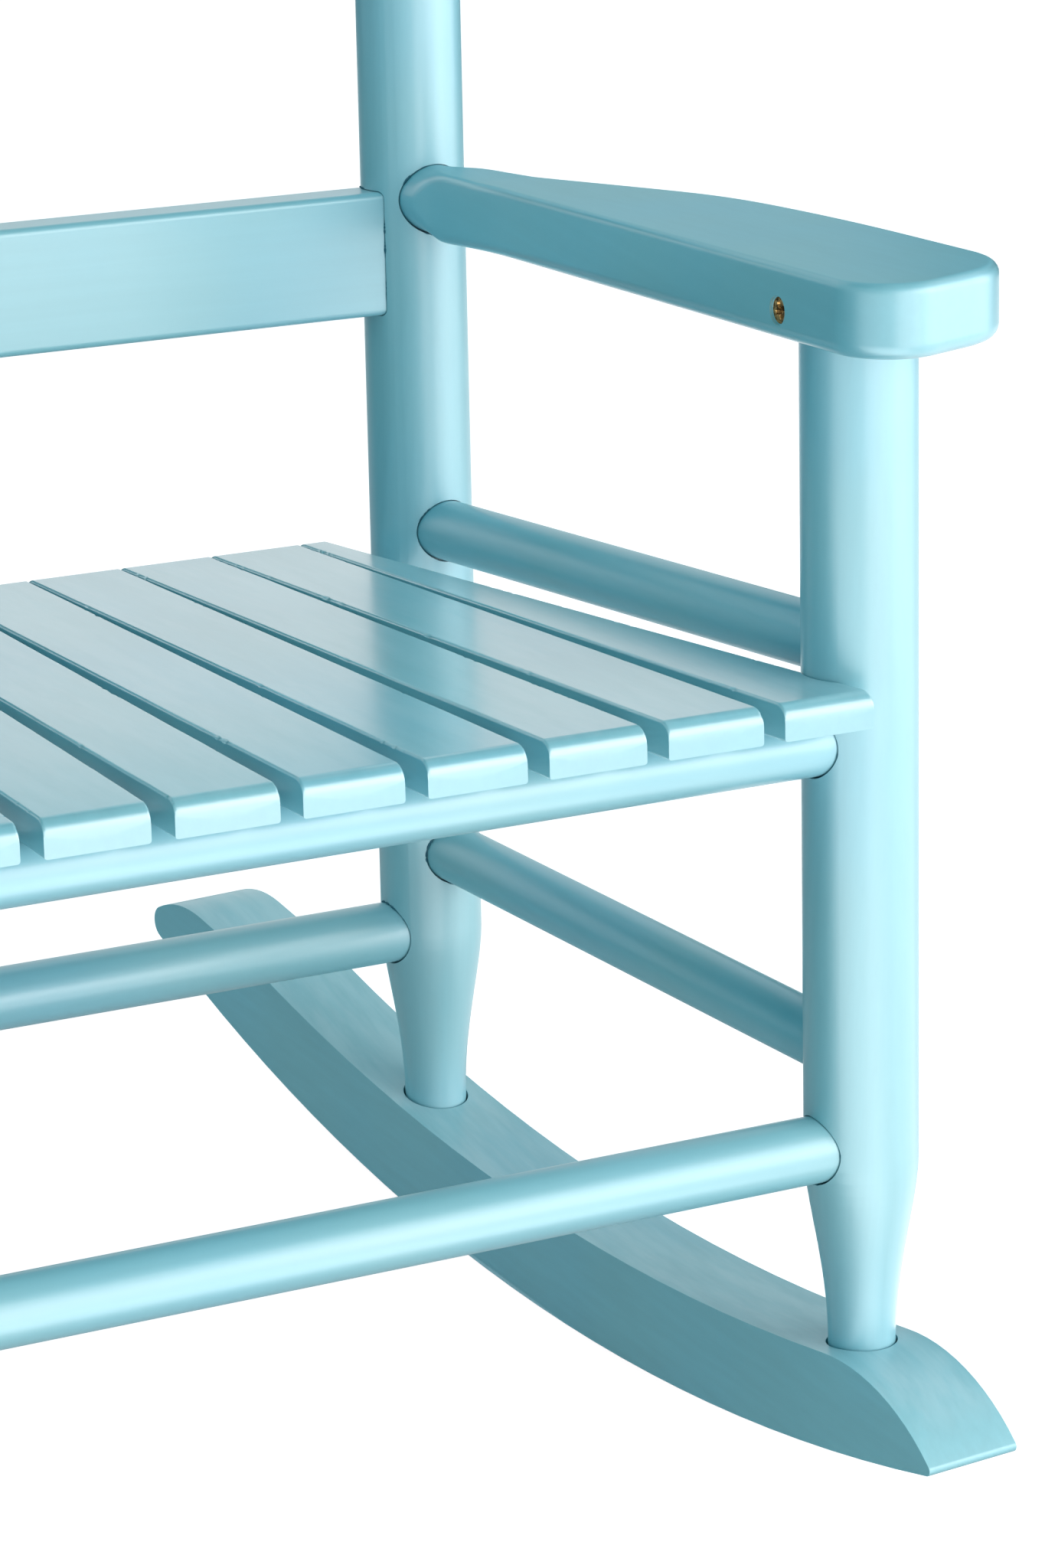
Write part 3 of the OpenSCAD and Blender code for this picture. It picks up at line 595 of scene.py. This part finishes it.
def arm_skin():
    """Rings of points from the nose's tip to the end of the tenon in the rear post."""
    rings = [arm_section(k / NOSE_SECTIONS, in_nose=True) for k in range(NOSE_SECTIONS + 1)]
    y = FIRST_KNOT
    while y < ROUND_FROM:
        y = min(y + (COARSE_STEP if y < FINE_FROM else FINE_STEP), ROUND_FROM)
        rings.append(arm_section(y))
    rings.append([Vector((p.x, ROUND_TO, p.z)) for p in rings[-1]])

    def narrowed(value, middle):
        return middle + (value - middle) * TENON_R / ROUND_R

    neck = [Vector((narrowed(p.x, REAR_X), ROUND_TO, narrowed(p.z, ROUND_Z))) for p in rings[-1]]
    return rings + [neck, [Vector((p.x, TENON_TO, p.z)) for p in neck]]


def shaped_arm(side, hand):
    """The paddle arm: it narrows to a waist, and its board flows into the round end that the post holds."""
    name = "shaped_arm_" + side
    mesh = bpy.data.meshes.new(name)
    with opened(mesh) as body:
        rings = [[body.verts.new(p * MM) for p in ring] for ring in arm_skin()]
        join_rings(body, rings)
        body.faces.new(rings[-1])
        bmesh.ops.remove_doubles(body, verts=body.verts, dist=MERGE_ARM * MM)
        bmesh.ops.recalc_face_normals(body, faces=body.faces)
    arm = in_scene(name, mesh)
    tenon = [(-CLEAR, POST_TENON_R), (POST_TENON_L, POST_TENON_R)]
    cut_away(arm, lathe("tenon bore", tenon, (FRONT_X, 0, ARM_UNDER), STILL))
    mouth = FRONT_X + inner_edge(0.0, 0.0)
    floor = mouth + RECESS_DEPTH
    screw = [(mouth - SCREW_CLEAR, RECESS_R), (floor, RECESS_R), (floor, HEAD_R),
             (floor + HEAD_CONE, SHANK_R), (floor + SCREW_L, SHANK_R)]
    cut_away(arm, lathe("screw bore", screw, (0, 0, SCREW_Z), Matrix.Rotation(math.pi / 2, 4, "Y")))
    arm.data.transform(Matrix.Diagonal((hand, 1, 1, 1)))
    settle(arm, sharp=32)
    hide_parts("arm_" + side)
    return arm


RUNNER_EDGE = 0.9 * MM

for k, (side, hand) in enumerate((("left", -1), ("right", 1)), 1):
    paint_node("front_post_" + side, painted_wood("painted front post " + side, UPRIGHT, shift=0.31 * k))
    paint_node("rear_post_" + side, painted_wood("painted rear post " + side, UPRIGHT, shift=0.47 * k))
    # The runner's top gets a whitish painted sheen with some dust
    runner_paint = painted_wood("painted runner " + side, LENGTHWISE, shift=0.23 * k, sheen_and_dust=0.6,
                                streaks=0.3, gloss=0.6, film=0.3)
    finish_piece(eased_copy("runner_" + side, "sawn_runner_" + side, RUNNER_EDGE), runner_paint)
    arm_paint = painted_wood("painted arm " + side, LENGTHWISE, shift=0.59 * k, dull=0.8,
                             gloss=0.35, film=1.0)
    finish_piece(shaped_arm(side, hand), arm_paint)
    side_paint = painted_wood("painted side rail " + side, LENGTHWISE, shift=0.83 * k, gloss=0.6, film=0.3)
    paint_node("upper_side_rail_" + side, side_paint)
    paint_node("lower_side_rail_" + side, side_paint)

cross_paint = painted_wood("painted cross rail", CROSSWISE, shift=0.13)
for node in ("seat_front_rail", "seat_rear_rail", "front_stretcher", "rear_stretcher"):
    paint_node(node, cross_paint)

back_paint = painted_wood("painted back rail", CROSSWISE, shift=0.41)
for node in ("back_rail_lower", "back_rail_middle", "back_rail_top"):
    paint_node(node, back_paint)


def winding_grid(s, columns, rows):
    """A grid to wind round a body, with each point's spot from -0.5 to 0.5 in x and y, and its row."""
    feeds = {"Size X": 1.0, "Size Y": 1.0,
             "Vertices X": s.plus(columns, 1.0), "Vertices Y": s.plus(rows, 1.0)}
    spot = s.parts(s.result("GeometryNodeInputPosition"))
    row = s.math("ROUND", s.times(s.plus(spot["Y"], 0.5), rows))
    return s.result("GeometryNodeMeshGrid", feeds), spot, row


def wind(s, grid, place):
    """The grid with its points put in their places and its seams closed."""
    body = s.result("GeometryNodeSetPosition", {"Geometry": grid, "Position": place})
    return s.result("GeometryNodeMergeByDistance", {"Geometry": body, "Distance": TOUCHING})


# How much closer a slat's rows lie at its ends: at 0 no closer than elsewhere, at 1 all at one place
CROWDING = 0.75
# The slats' long edges: bends, chips and patches of chips per metre, and the spans of noise that make them
BENDS_PER_M = 26.0
CHIPS_PER_M, CHIP_SPAN = 520.0, (0.54, 0.68)
CHIP_PATCHES_PER_M, CHIP_PATCH_SPAN = 34.0, (0.5, 0.62)
# How far apart in the noise the slats lie, and the two edges of a slat
SLATS_APART, EDGES_APART = 7.3, 2.1
# Chips lie on this share of the edge's rounding and spare the flat top. They lower the edge by a share
# of their depth.
CHIP_ZONE, TOP_SKIN, CHIP_DROP = 0.9, 0.03 * MM, 0.6


def slat_recipe(s, given):
    """A planed slat: a rounded section carried along it, narrower to the rear, its ends rounded over on top.

    The mesh starts as a grid whose columns go round the section and whose rows go along the slat. The first
    and last rows close the ends. Long edges wander a little and carry nicks, as sawn and brushed edges do.
    """
    thickness, nose = given["Thickness"], given["Nose radius"]
    outline = s.result("GeometryNodeCurvePrimitiveQuadrilateral",
                       {"Width": given["Rear width"], "Height": thickness})
    ease = {"Curve": outline, "Count": 4, "Radius": given["Edge ease"]}
    outline = s.result("GeometryNodeFilletCurve", ease, mode="POLY")
    corners = s.result("GeometryNodeAttributeDomainSize", {"Geometry": outline}, component="CURVE")
    grid, spot, row = winding_grid(s, corners, given["Rows"])
    column = s.math("ROUND", s.times(s.plus(spot["X"], 0.5), corners))
    corner = s.parts(s.result("GeometryNodeSampleIndex", {
        "Geometry": outline,
        "Value": s.result("GeometryNodeInputPosition"),
        "Index": s.math("MODULO", column, corners),
    }, data_type="FLOAT_VECTOR"))
    even = s.span(row, 1.0, s.minus(given["Rows"], 1.0), smooth=False)
    part = s.minus(even, s.times(s.math("SINE", s.times(even, TAU)), CROWDING / TAU))
    y = s.between(part, given["Front end"], given["Rear end"])
    middle = s.between(part, given["Front centre"], given["Rear centre"])
    width = s.between(part, given["Front width"], given["Rear width"])
    spare = s.times(s.minus(width, given["Rear width"]), 0.5)
    side = s.math("SIGN", corner["X"])
    half_t = s.times(thickness, 0.5)
    # How much the rounding over an end lowers the top
    to_end = s.math("MINIMUM", s.minus(y, given["Front end"]), s.minus(given["Rear end"], y))
    inside = s.math("MAXIMUM", s.minus(nose, to_end), 0.0)
    left_over = s.math("MAXIMUM", 0.0, s.minus(s.times(nose, nose), s.times(inside, inside)))
    drop = s.minus(nose, s.math("SQRT", left_over))
    upper = s.math("GREATER_THAN", corner["Y"], 0.0)
    # Wandering edges, and nicks that come in patches along the top edges
    seed = s.math("MULTIPLY_ADD", given["Seed"], SLATS_APART, s.times(side, EDGES_APART))
    wander = s.minus(s.noise(s.vector(s.times(y, BENDS_PER_M), seed, 0.0)), 0.5)
    chip = s.span(s.noise(s.vector(s.times(y, CHIPS_PER_M), seed, 3.0), detail=3.0), *CHIP_SPAN)
    patch = s.span(s.noise(s.vector(s.times(y, CHIP_PATCHES_PER_M), seed, 9.0)), *CHIP_PATCH_SPAN)
    zone = s.math("GREATER_THAN", corner["Y"], s.minus(half_t, s.times(given["Edge ease"], CHIP_ZONE)))
    nick = s.times(chip, patch, zone, given["Nick depth"])
    out = s.plus(corner["X"], s.times(side, s.minus(spare, nick)))
    out = s.math("MULTIPLY_ADD", wander, given["Wander"], out)
    high = s.minus(s.minus(corner["Y"], half_t), s.times(drop, upper))
    below_top = s.math("LESS_THAN", corner["Y"], s.minus(half_t, TOP_SKIN))
    high = s.math("MULTIPLY_ADD", s.times(nick, below_top), -CHIP_DROP, high)
    # End rows shrink to a point in the middle of the end's face
    beyond = s.math("GREATER_THAN", s.math("ABSOLUTE", spot["Y"]), 0.4999)
    x = s.plus(middle, s.times(out, s.minus(1.0, beyond)))
    z = s.between(beyond, high, s.times(s.plus(thickness, nose), -0.5))
    slat = wind(s, grid, s.vector(x, y, z))
    # The outer slats are notched round the front posts
    cutter = s.result("GeometryNodeMeshCylinder", {
        "Vertices": 96,
        "Radius": given["Notch radius"],
        "Depth": s.times(thickness, 4.0),
    })
    aside = {"Geometry": cutter, "Translation": s.vector(given["Notch x"])}
    cut = {"Mesh 1": slat, "Mesh 2": s.result("GeometryNodeTransform", aside)}
    notched = s.result("GeometryNodeMeshBoolean", cut, operation="DIFFERENCE", solver="EXACT")
    return s.result("GeometryNodeSwitch", {"Switch": given["Notched"], "False": slat, "True": notched},
                    input_type="GEOMETRY")


slat_tree = geometry_tree("planed slat", {
    "Front centre": 0.0,
    "Rear centre": 0.0,
    "Front width": 34.2 * MM,
    "Rear width": 34.2 * MM,
    "Front end": -28.0 * MM,
    "Rear end": 269.0 * MM,
    "Thickness": 12.0 * MM,
    "Nose radius": 5.0 * MM,
    "Edge ease": 1.0 * MM,
    "Nick depth": 0.5 * MM,
    "Wander": 0.6 * MM,
    "Rows": 300,
    "Seed": 0,
    "Notched": False,
    "Notch x": 0.0,
    "Notch radius": 19.5 * MM,
}, slat_recipe)

# The slats' fan: how far apart their middles are in front and at the rear, and the outer slats' own
# middles and widths
SLATS = 9
FRONT_PITCH, REAR_PITCH = 41.875 * MM, 35.025 * MM
OUTER_FRONT, OUTER_FRONT_WIDTH = 166.8 * MM, 32.8 * MM
OUTER_REAR, OUTER_REAR_WIDTH = 127.7 * MM, 9.4 * MM

for i in range(1, SLATS + 1):
    # The slats' tops get a whitish painted sheen with some dust
    slat_paint = painted_wood("painted slat %d" % i, LENGTHWISE, shift=0.17 * i, sheen_and_dust=0.36, streaks=0.2,
                              roughness=0.3, film=1.0, film_roughness=0.2)
    steps = i - (SLATS + 1) / 2
    values = {
        "Front centre": steps * FRONT_PITCH,
        "Rear centre": steps * REAR_PITCH,
        "Seed": i,
        "Paint": slat_paint,
    }
    if i in (1, SLATS):
        hand = math.copysign(1, steps)
        values.update({
            "Front centre": hand * OUTER_FRONT,
            "Front width": OUTER_FRONT_WIDTH,
            "Rear centre": hand * OUTER_REAR,
            "Rear width": OUTER_REAR_WIDTH,
            "Notched": True,
            "Notch x": hand * FRONT_X * MM,
        })
    slat = grow(slat_tree, "planed_slat_%d" % i, values)
    settle(slat)
    keep_flats(slat)
    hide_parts("seat_slat_%d" % i)
    finish_piece(slat, slat_paint)


brass = screw_metal("dulled brass", (0.52, 0.33, 0.13), grain=850.0, darkest=0.06)
zinc = screw_metal("zinc plating", (0.62, 0.63, 0.64), grain=600.0, darkest=0.45)

# Rows of a screw's grid that end its face, its rim and its cone
FACE_ROWS, RIM_ROWS, CONE_ROWS = 12, 13, 15
RIM = 0.2 * MM
# Where along the shank the thread runs in, and where the point starts to taper
THREAD_START, THREAD_FULL, TAPER_START = 0.02, 0.08, 0.86
# The cross recess: half the width of its wings at the floor and at the mouth, and how far they reach out
WING_FLOOR, WING_MOUTH = 0.5 * MM, 0.9 * MM
WING_FULL, WING_END = 0.52, 0.64


def screw_recipe(s, given):
    """Countersunk wood screws, one on each point of the starting mesh.

    One screw is a grid wound round its axis: the columns go round and the rows go out over the head's face
    with its cross recess, back along the cone and down the threaded shank to the point.
    """
    grid, spot, row = winding_grid(s, given["Sides"], given["Rows"])
    angle = s.times(s.plus(spot["X"], 0.5), TAU)
    face = s.span(row, 0.0, FACE_ROWS, smooth=False)
    rim = s.span(row, FACE_ROWS, RIM_ROWS, 0.0, RIM, smooth=False)
    cone = s.span(row, RIM_ROWS, CONE_ROWS, smooth=False)
    shank = s.span(row, CONE_ROWS, given["Rows"], smooth=False)
    out = s.times(given["Head radius"], face)
    out = s.minus(out, s.times(s.minus(given["Head radius"], given["Shank radius"]), cone))
    along = s.plus(rim, s.times(given["Cone"], cone))
    along = s.math("MULTIPLY_ADD", s.minus(given["Length"], given["Cone"]), shank, along)
    turns = s.minus(s.math("DIVIDE", along, given["Pitch"]), s.math("DIVIDE", angle, TAU))
    ridge = s.times(s.math("ABSOLUTE", s.minus(s.math("FRACT", turns), 0.5)), 2.0)
    groove = s.times(ridge, given["Thread depth"], s.span(shank, THREAD_START, THREAD_FULL))
    out = s.times(s.minus(out, groove), s.span(shank, TAPER_START, 1.0, 1.0, 0.0, smooth=False))
    # Cross recess in the head's face
    spun = s.plus(angle, given["Spin"])
    nearer = s.math("MINIMUM", *(s.math("ABSOLUTE", s.math(way, spun)) for way in ("COSINE", "SINE")))
    wing = s.span(s.times(out, nearer), WING_FLOOR, WING_MOUTH, 1.0, 0.0)
    recess = s.times(wing, s.span(face, WING_FULL, WING_END, 1.0, 0.0), given["Recess depth"])
    along = s.plus(along, s.times(recess, s.math("LESS_THAN", row, FACE_ROWS)))
    place = s.vector(s.times(out, s.math("COSINE", angle)), s.times(out, s.math("SINE", angle)), along)
    side = s.math("SIGN", s.parts(s.result("GeometryNodeInputPosition"))["X"])
    return s.result("GeometryNodeInstanceOnPoints", {
        "Points": given["Geometry"],
        "Instance": wind(s, grid, place),
        "Rotation": s.vector(0.0, s.times(side, given["Turn"]), 0.0),
    })


screw_tree = geometry_tree("wood screw", {
    "Head radius": 3.8 * MM,
    "Cone": 2.5 * MM,
    "Shank radius": 1.72 * MM,
    "Length": 28.0 * MM,
    "Pitch": 1.6 * MM,
    "Thread depth": 0.5 * MM,
    "Recess depth": 1.4 * MM,
    "Sides": 64,
    "Rows": 110,
    "Turn": 0.0,
    "Spin": 0.4,
}, screw_recipe)

# A CAD screw's points lie this near its first one, seen from above; its head's face is this flat
REACH_UPRIGHT, REACH_SIDEWAYS = 12.0 * MM, 50.0 * MM
FACE_FLATNESS = 0.02 * MM


def screw_places(node, sideways):
    """Middle of each screw's head on a CAD node, in level coordinates."""
    reach = REACH_SIDEWAYS if sideways else REACH_UPRIGHT
    groups = []
    for corner in nodes[node].data.vertices:
        point = TO_LEVEL @ (nodes[node].matrix_world @ corner.co)
        for group in groups:
            if (group[0].xy - point.xy).length < reach:
                group.append(point)
                break
        else:
            groups.append([point])
    places = []
    for group in groups:
        depth = [abs(p.x) if sideways else p.z for p in group]
        face = [p for p, d in zip(group, depth) if d < min(depth) + FACE_FLATNESS]
        places.append(sum(face, Vector()) / len(face))
    return places


def drive_screws(node, metal, values, sink, sideways=False):
    """Threaded screws in the places of a CAD node's plain ones, sunk a little deeper or less deep."""
    name = "threaded_" + node
    starts = []
    for place in screw_places(node, sideways):
        inward = Vector((math.copysign(1, place.x), 0, 0)) if sideways else Vector((0, 0, 1))
        starts.append(place + sink * inward)
    points = bpy.data.meshes.new(name + "_places")
    points.from_pydata(starts, [], [])
    turn = math.pi / 2 if sideways else 0.0
    screws = grow(screw_tree, name, {**values, "Turn": turn, "Paint": metal}, points)
    settle(screws, sharp=40)
    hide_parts(node)
    finish_piece(screws, metal)


arm_screw = {"Head radius": 4.3 * MM, "Length": 31.0 * MM, "Recess depth": 1.5 * MM}
drive_screws("arm_screws", brass, arm_screw, sink=-1.9 * MM, sideways=True)
drive_screws("seat_screws_front", zinc, {"Length": 27.5 * MM}, sink=0.9 * MM)
drive_screws("seat_screws_rear", zinc, {"Length": 27.5 * MM}, sink=0.9 * MM)
drive_screws("runner_screws", zinc, {"Length": 44.5 * MM}, sink=0.0)


# The edges of a mouth bend by more than this
MOUTH_BEND = math.radians(50)
# A ring of such edges goes round the post itself, and is no mouth, where the normals beside it add up to
# less than this for each edge, or to a way that is along the post by more than this
LEAST_FACING, MOST_ALONG = 0.2, 0.5


def connected(edges):
    """The edges, sorted into groups that hang together."""
    left = set(edges)
    groups = []
    for start in edges:
        if start not in left:
            continue
        left.remove(start)
        group = [start]
        for edge in group:
            for near in (e for corner in edge.verts for e in corner.link_edges):
                if near in left:
                    left.remove(near)
                    group.append(near)
        groups.append(group)
    return groups


def bore_mouths(node):
    """The mouths that a post's bores and mortises cut in its side, as points and pairs of points."""
    body = bmesh.new()
    body.from_mesh(nodes[node].data)
    body.transform(nodes[node].matrix_world)
    bmesh.ops.remove_doubles(body, verts=body.verts, dist=TOUCHING)
    crisp = [e for e in body.edges
             if len(e.link_faces) == 2 and e.is_convex and e.calc_face_angle() > MOUTH_BEND]
    upward = STAND.to_3x3() @ Vector((0, 0, 1))
    points, pairs = [], []
    for ring in connected(crisp):
        facing = sum((f.normal for e in ring for f in e.link_faces), Vector())
        if facing.length < LEAST_FACING * len(ring) or abs(facing.normalized().dot(upward)) > MOST_ALONG:
            continue
        place = {}
        for edge in ring:
            for corner in edge.verts:
                if corner not in place:
                    place[corner] = len(points)
                    points.append(corner.co.copy())
            pairs.append(tuple(place[corner] for corner in edge.verts))
    body.free()
    return points, pairs


def joint_shade_recipe(s, given):
    """Painted shade in each joint's gap: a thin dark line along each mouth, broad in patches and nearly closed
    between them.
    """
    line = s.result("GeometryNodeMeshToCurve", {"Mesh": given["Geometry"]})
    line = s.result("GeometryNodeResampleCurve", {"Curve": line, "Length": given["Step"]}, mode="LENGTH")
    where = s.result("GeometryNodeInputPosition")
    broad = s.span(s.noise(where, given["Patches"], detail=1.0), 0.5, 0.64)
    ragged = s.span(s.noise(where, given["Raggedness"]), 0.35, 0.6, 0.25, 1.0)
    radius = s.between(s.times(broad, ragged), given["Thinnest"], given["Thickest"])
    ring = s.result("GeometryNodeCurvePrimitiveCircle", {"Resolution": 8, "Radius": 1.0})
    return s.result("GeometryNodeCurveToMesh", {"Curve": line, "Profile Curve": ring, "Scale": radius})


joint_shade_tree = geometry_tree("painted shade in joint gaps", {
    "Step": 0.6 * MM,
    "Patches": 75.0,
    "Raggedness": 900.0,
    "Thinnest": 0.03 * MM,
    "Thickest": 0.46 * MM,
}, joint_shade_recipe)

# Dark, matt paint that stands for the shade in the gaps where rails enter the posts
joint_shade_paint = painted_wood("painted shade in the joints", CROSSWISE, gloss=0.2, film=0.0, roughness=0.6,
                          tint=(0.12, 0.24, 0.28))
seam_points, seam_pairs = [], []
for node in ("front_post_left", "front_post_right", "rear_post_left", "rear_post_right"):
    points, pairs = bore_mouths(node)
    seam_pairs += [(a + len(seam_points), b + len(seam_points)) for a, b in pairs]
    seam_points += points
# Lines of painted shade along the mouths of the posts' bores and mortises
seams = bpy.data.meshes.new("painted_joint_shade")
seams.from_pydata(seam_points, seam_pairs, [])
painted_joint_shade = grow(joint_shade_tree, "painted_joint_shade", {"Paint": joint_shade_paint}, seams)
settle(painted_joint_shade, sharp=60, place=STILL)
finish_piece(painted_joint_shade, joint_shade_paint)


def seen_directly(s):
    """1 for the camera, for reflections and through glass; 0 for the light that falls on the chair."""
    path = s.add("ShaderNodeLightPath").outputs
    seen = s.math("MAXIMUM", path["Is Camera Ray"], path["Is Glossy Ray"])
    return s.math("MAXIMUM", seen, path["Is Transmission Ray"])


def sheet(name, quads):
    """Flat four-cornered faces as one stage object, and the sockets of its empty material."""
    mesh = bpy.data.meshes.new(name)
    corners = [corner for quad in quads for corner in quad]
    mesh.from_pydata(corners, [], [tuple(range(i, i + 4)) for i in range(0, len(corners), 4)])
    piece = in_scene(name, mesh)
    material = bpy.data.materials.new(name)
    s = emptied(material)
    mesh.materials.append(material)
    return piece, s


def level_quad(x0, x1, y0, y1, z):
    return [(x0, y0, z), (x1, y0, z), (x1, y1, z), (x0, y1, z)]


# Metres from here on. The floor looks white by a glow that only the camera and reflections see.
FLOOR_HALF = 6.0
FLOOR_GLOW, FLOOR_GLOW_LEVEL = (1, 0.965, 0.965, 1), 0.97
FLOOR_LIT, FLOOR_SEEN = (0.8, 0.8, 0.8, 1), (0.3, 0.3, 0.3, 1)


def studio_floor():
    _, s = sheet("studio_floor", [level_quad(-FLOOR_HALF, FLOOR_HALF, -FLOOR_HALF, FLOOR_HALF, 0)])
    seen = seen_directly(s)
    matt = s.result("ShaderNodeBsdfDiffuse", {"Color": s.blend(seen, FLOOR_LIT, FLOOR_SEEN)})
    level = s.times(seen, FLOOR_GLOW_LEVEL)
    glow = s.result("ShaderNodeEmission", {"Color": FLOOR_GLOW, "Strength": level})
    both = s.add("ShaderNodeAddShader")
    s.feed(both.inputs[0], matt)
    s.feed(both.inputs[1], glow)
    s.surface(both.outputs[0])


studio_floor()


def card(name, quads, level):
    """Studio card that only the paint's reflections see: black at level 0, a bright reflector above 1."""
    piece, s = sheet(name, quads)
    s.surface(s.result("ShaderNodeEmission", {"Color": (1, 1, 1, 1), "Strength": level}))
    piece.visible_camera = piece.visible_diffuse = piece.visible_shadow = piece.visible_transmission = False


# Floor cards lie just above the floor and reach this far from the chair. The lines between them run
# beside the chair on its left and right, and just in front of it.
CARD_REACH, FLOOR_CARD_Z = 1.8, 0.002
LEFT_LINE, RIGHT_LINE, FRONT_LINE = -0.25, 0.28, -0.32
RIGHT_CARD_END = -0.1

for name, plan, level in (
    ("dark_floor_left", (-CARD_REACH, LEFT_LINE, FRONT_LINE, CARD_REACH), 0.0),
    ("dark_floor_under", (LEFT_LINE, RIGHT_LINE, FRONT_LINE, CARD_REACH), 0.4),
    ("bright_floor_front", (-CARD_REACH, RIGHT_LINE, -CARD_REACH, FRONT_LINE), 4.1),
    ("bright_floor_right", (RIGHT_LINE, CARD_REACH, -CARD_REACH, RIGHT_CARD_END), 2.1),
):
    card(name, [level_quad(*plan, FLOOR_CARD_Z)], level)

CARD_PANELS, CARD_FOOT = 4, 0.003
CEILING_HALF, CEILING_Z = 1.3, 1.9


def standing_card(start, end, radius=CARD_REACH, height=1.2):
    """Panels round the chair between two compass angles: 0 is straight ahead of it, 90 its +x side."""
    corners = []
    for i in range(CARD_PANELS + 1):
        around = math.radians(start + (end - start) * i / CARD_PANELS)
        corners.append((radius * math.sin(around), -radius * math.cos(around)))
    return [
        [(*a, CARD_FOOT), (*b, CARD_FOOT), (*b, height), (*a, height)]
        for a, b in zip(corners, corners[1:])
    ]


ceiling = level_quad(-CEILING_HALF, CEILING_HALF, -CEILING_HALF, CEILING_HALF, CEILING_Z)
card("white_wall_right", standing_card(35, 90, radius=2.6, height=1.6), 4.0)
card("black_flags", standing_card(95, 140) + standing_card(165, 200) + [ceiling], 0.0)

AMBIENT, AMBIENT_LEVEL = (0.12, 0.93, 1.09, 1), 0.4


def studio_world():
    """White where it is seen, and a weaker blue-green light on the chair."""
    scene.world = bpy.data.worlds.new("white studio")
    s = emptied(scene.world)
    mix = s.add("ShaderNodeMixShader", {"Fac": seen_directly(s)})
    s.feed(mix.inputs[1], s.result("ShaderNodeBackground", {"Color": AMBIENT, "Strength": AMBIENT_LEVEL}))
    s.feed(mix.inputs[2], s.result("ShaderNodeBackground", {"Color": (1, 1, 1, 1), "Strength": 1.0}))
    s.surface(mix.outputs[0], end="ShaderNodeOutputWorld")


studio_world()

CHAIR_MIDDLE = Vector((0, 0, 0.33))
LAMP_COLOUR, LAMP_SIZE, LAMP_DISTANCE = (1.0, 0.93, 0.91), 1.6, 2.2


def softbox(name, toward, height_angle, watts):
    """Square lamp that faces the chair's middle. toward is a compass angle, as in standing_card."""
    lamp = bpy.data.lights.new(name, "AREA")
    lamp.shape = "SQUARE"
    lamp.size = LAMP_SIZE
    lamp.energy = watts
    lamp.color = LAMP_COLOUR
    around, up = math.radians(toward), math.radians(height_angle)
    away = Vector((math.sin(around) * math.cos(up), -math.cos(around) * math.cos(up), math.sin(up)))
    turn = (-away).to_track_quat("-Z", "Y").to_matrix().to_4x4()
    in_scene(name, lamp).matrix_world = Matrix.Translation(CHAIR_MIDDLE + away * LAMP_DISTANCE) @ turn


softbox("right_softbox", 40, 20, watts=24.5)
softbox("low_front_softbox", 8, 5, watts=24)
softbox("overhead_softbox", 0, 85, watts=6.5)
softbox("back_fill_softbox", 200, 25, watts=8)

# The photograph's camera in level coordinates: where it stands, and which way it looks in degrees
LENS, SENSOR = 119.1, 36
EYE = Vector((-653.494, -1381.975, 404.447)) * MM
LOOK_AROUND, LOOK_UP, ROLL = 27.68981, -15.22946, -1.193184


def photo_camera():
    """Camera at the photograph's place, given in level coordinates and stood with the chair."""
    around, up, roll = (math.radians(a) for a in (LOOK_AROUND, LOOK_UP, ROLL))
    ahead = Vector((math.sin(around) * math.cos(up), math.cos(around) * math.cos(up), math.sin(up)))
    right = Vector((math.cos(around), -math.sin(around), 0))
    over = right.cross(ahead)
    rolled = right * math.cos(roll) + over * math.sin(roll), over * math.cos(roll) - right * math.sin(roll)
    pose = Matrix((*rolled, -ahead)).transposed().to_4x4()
    pose.translation = EYE
    lens = bpy.data.cameras.new("photo_camera")
    lens.lens = LENS
    lens.sensor_width = SENSOR
    lens.clip_start = 0.01
    scene.camera = in_scene("photo_camera", lens)
    scene.camera.matrix_world = STAND @ pose


photo_camera()
scene.view_settings.view_transform = "Standard"
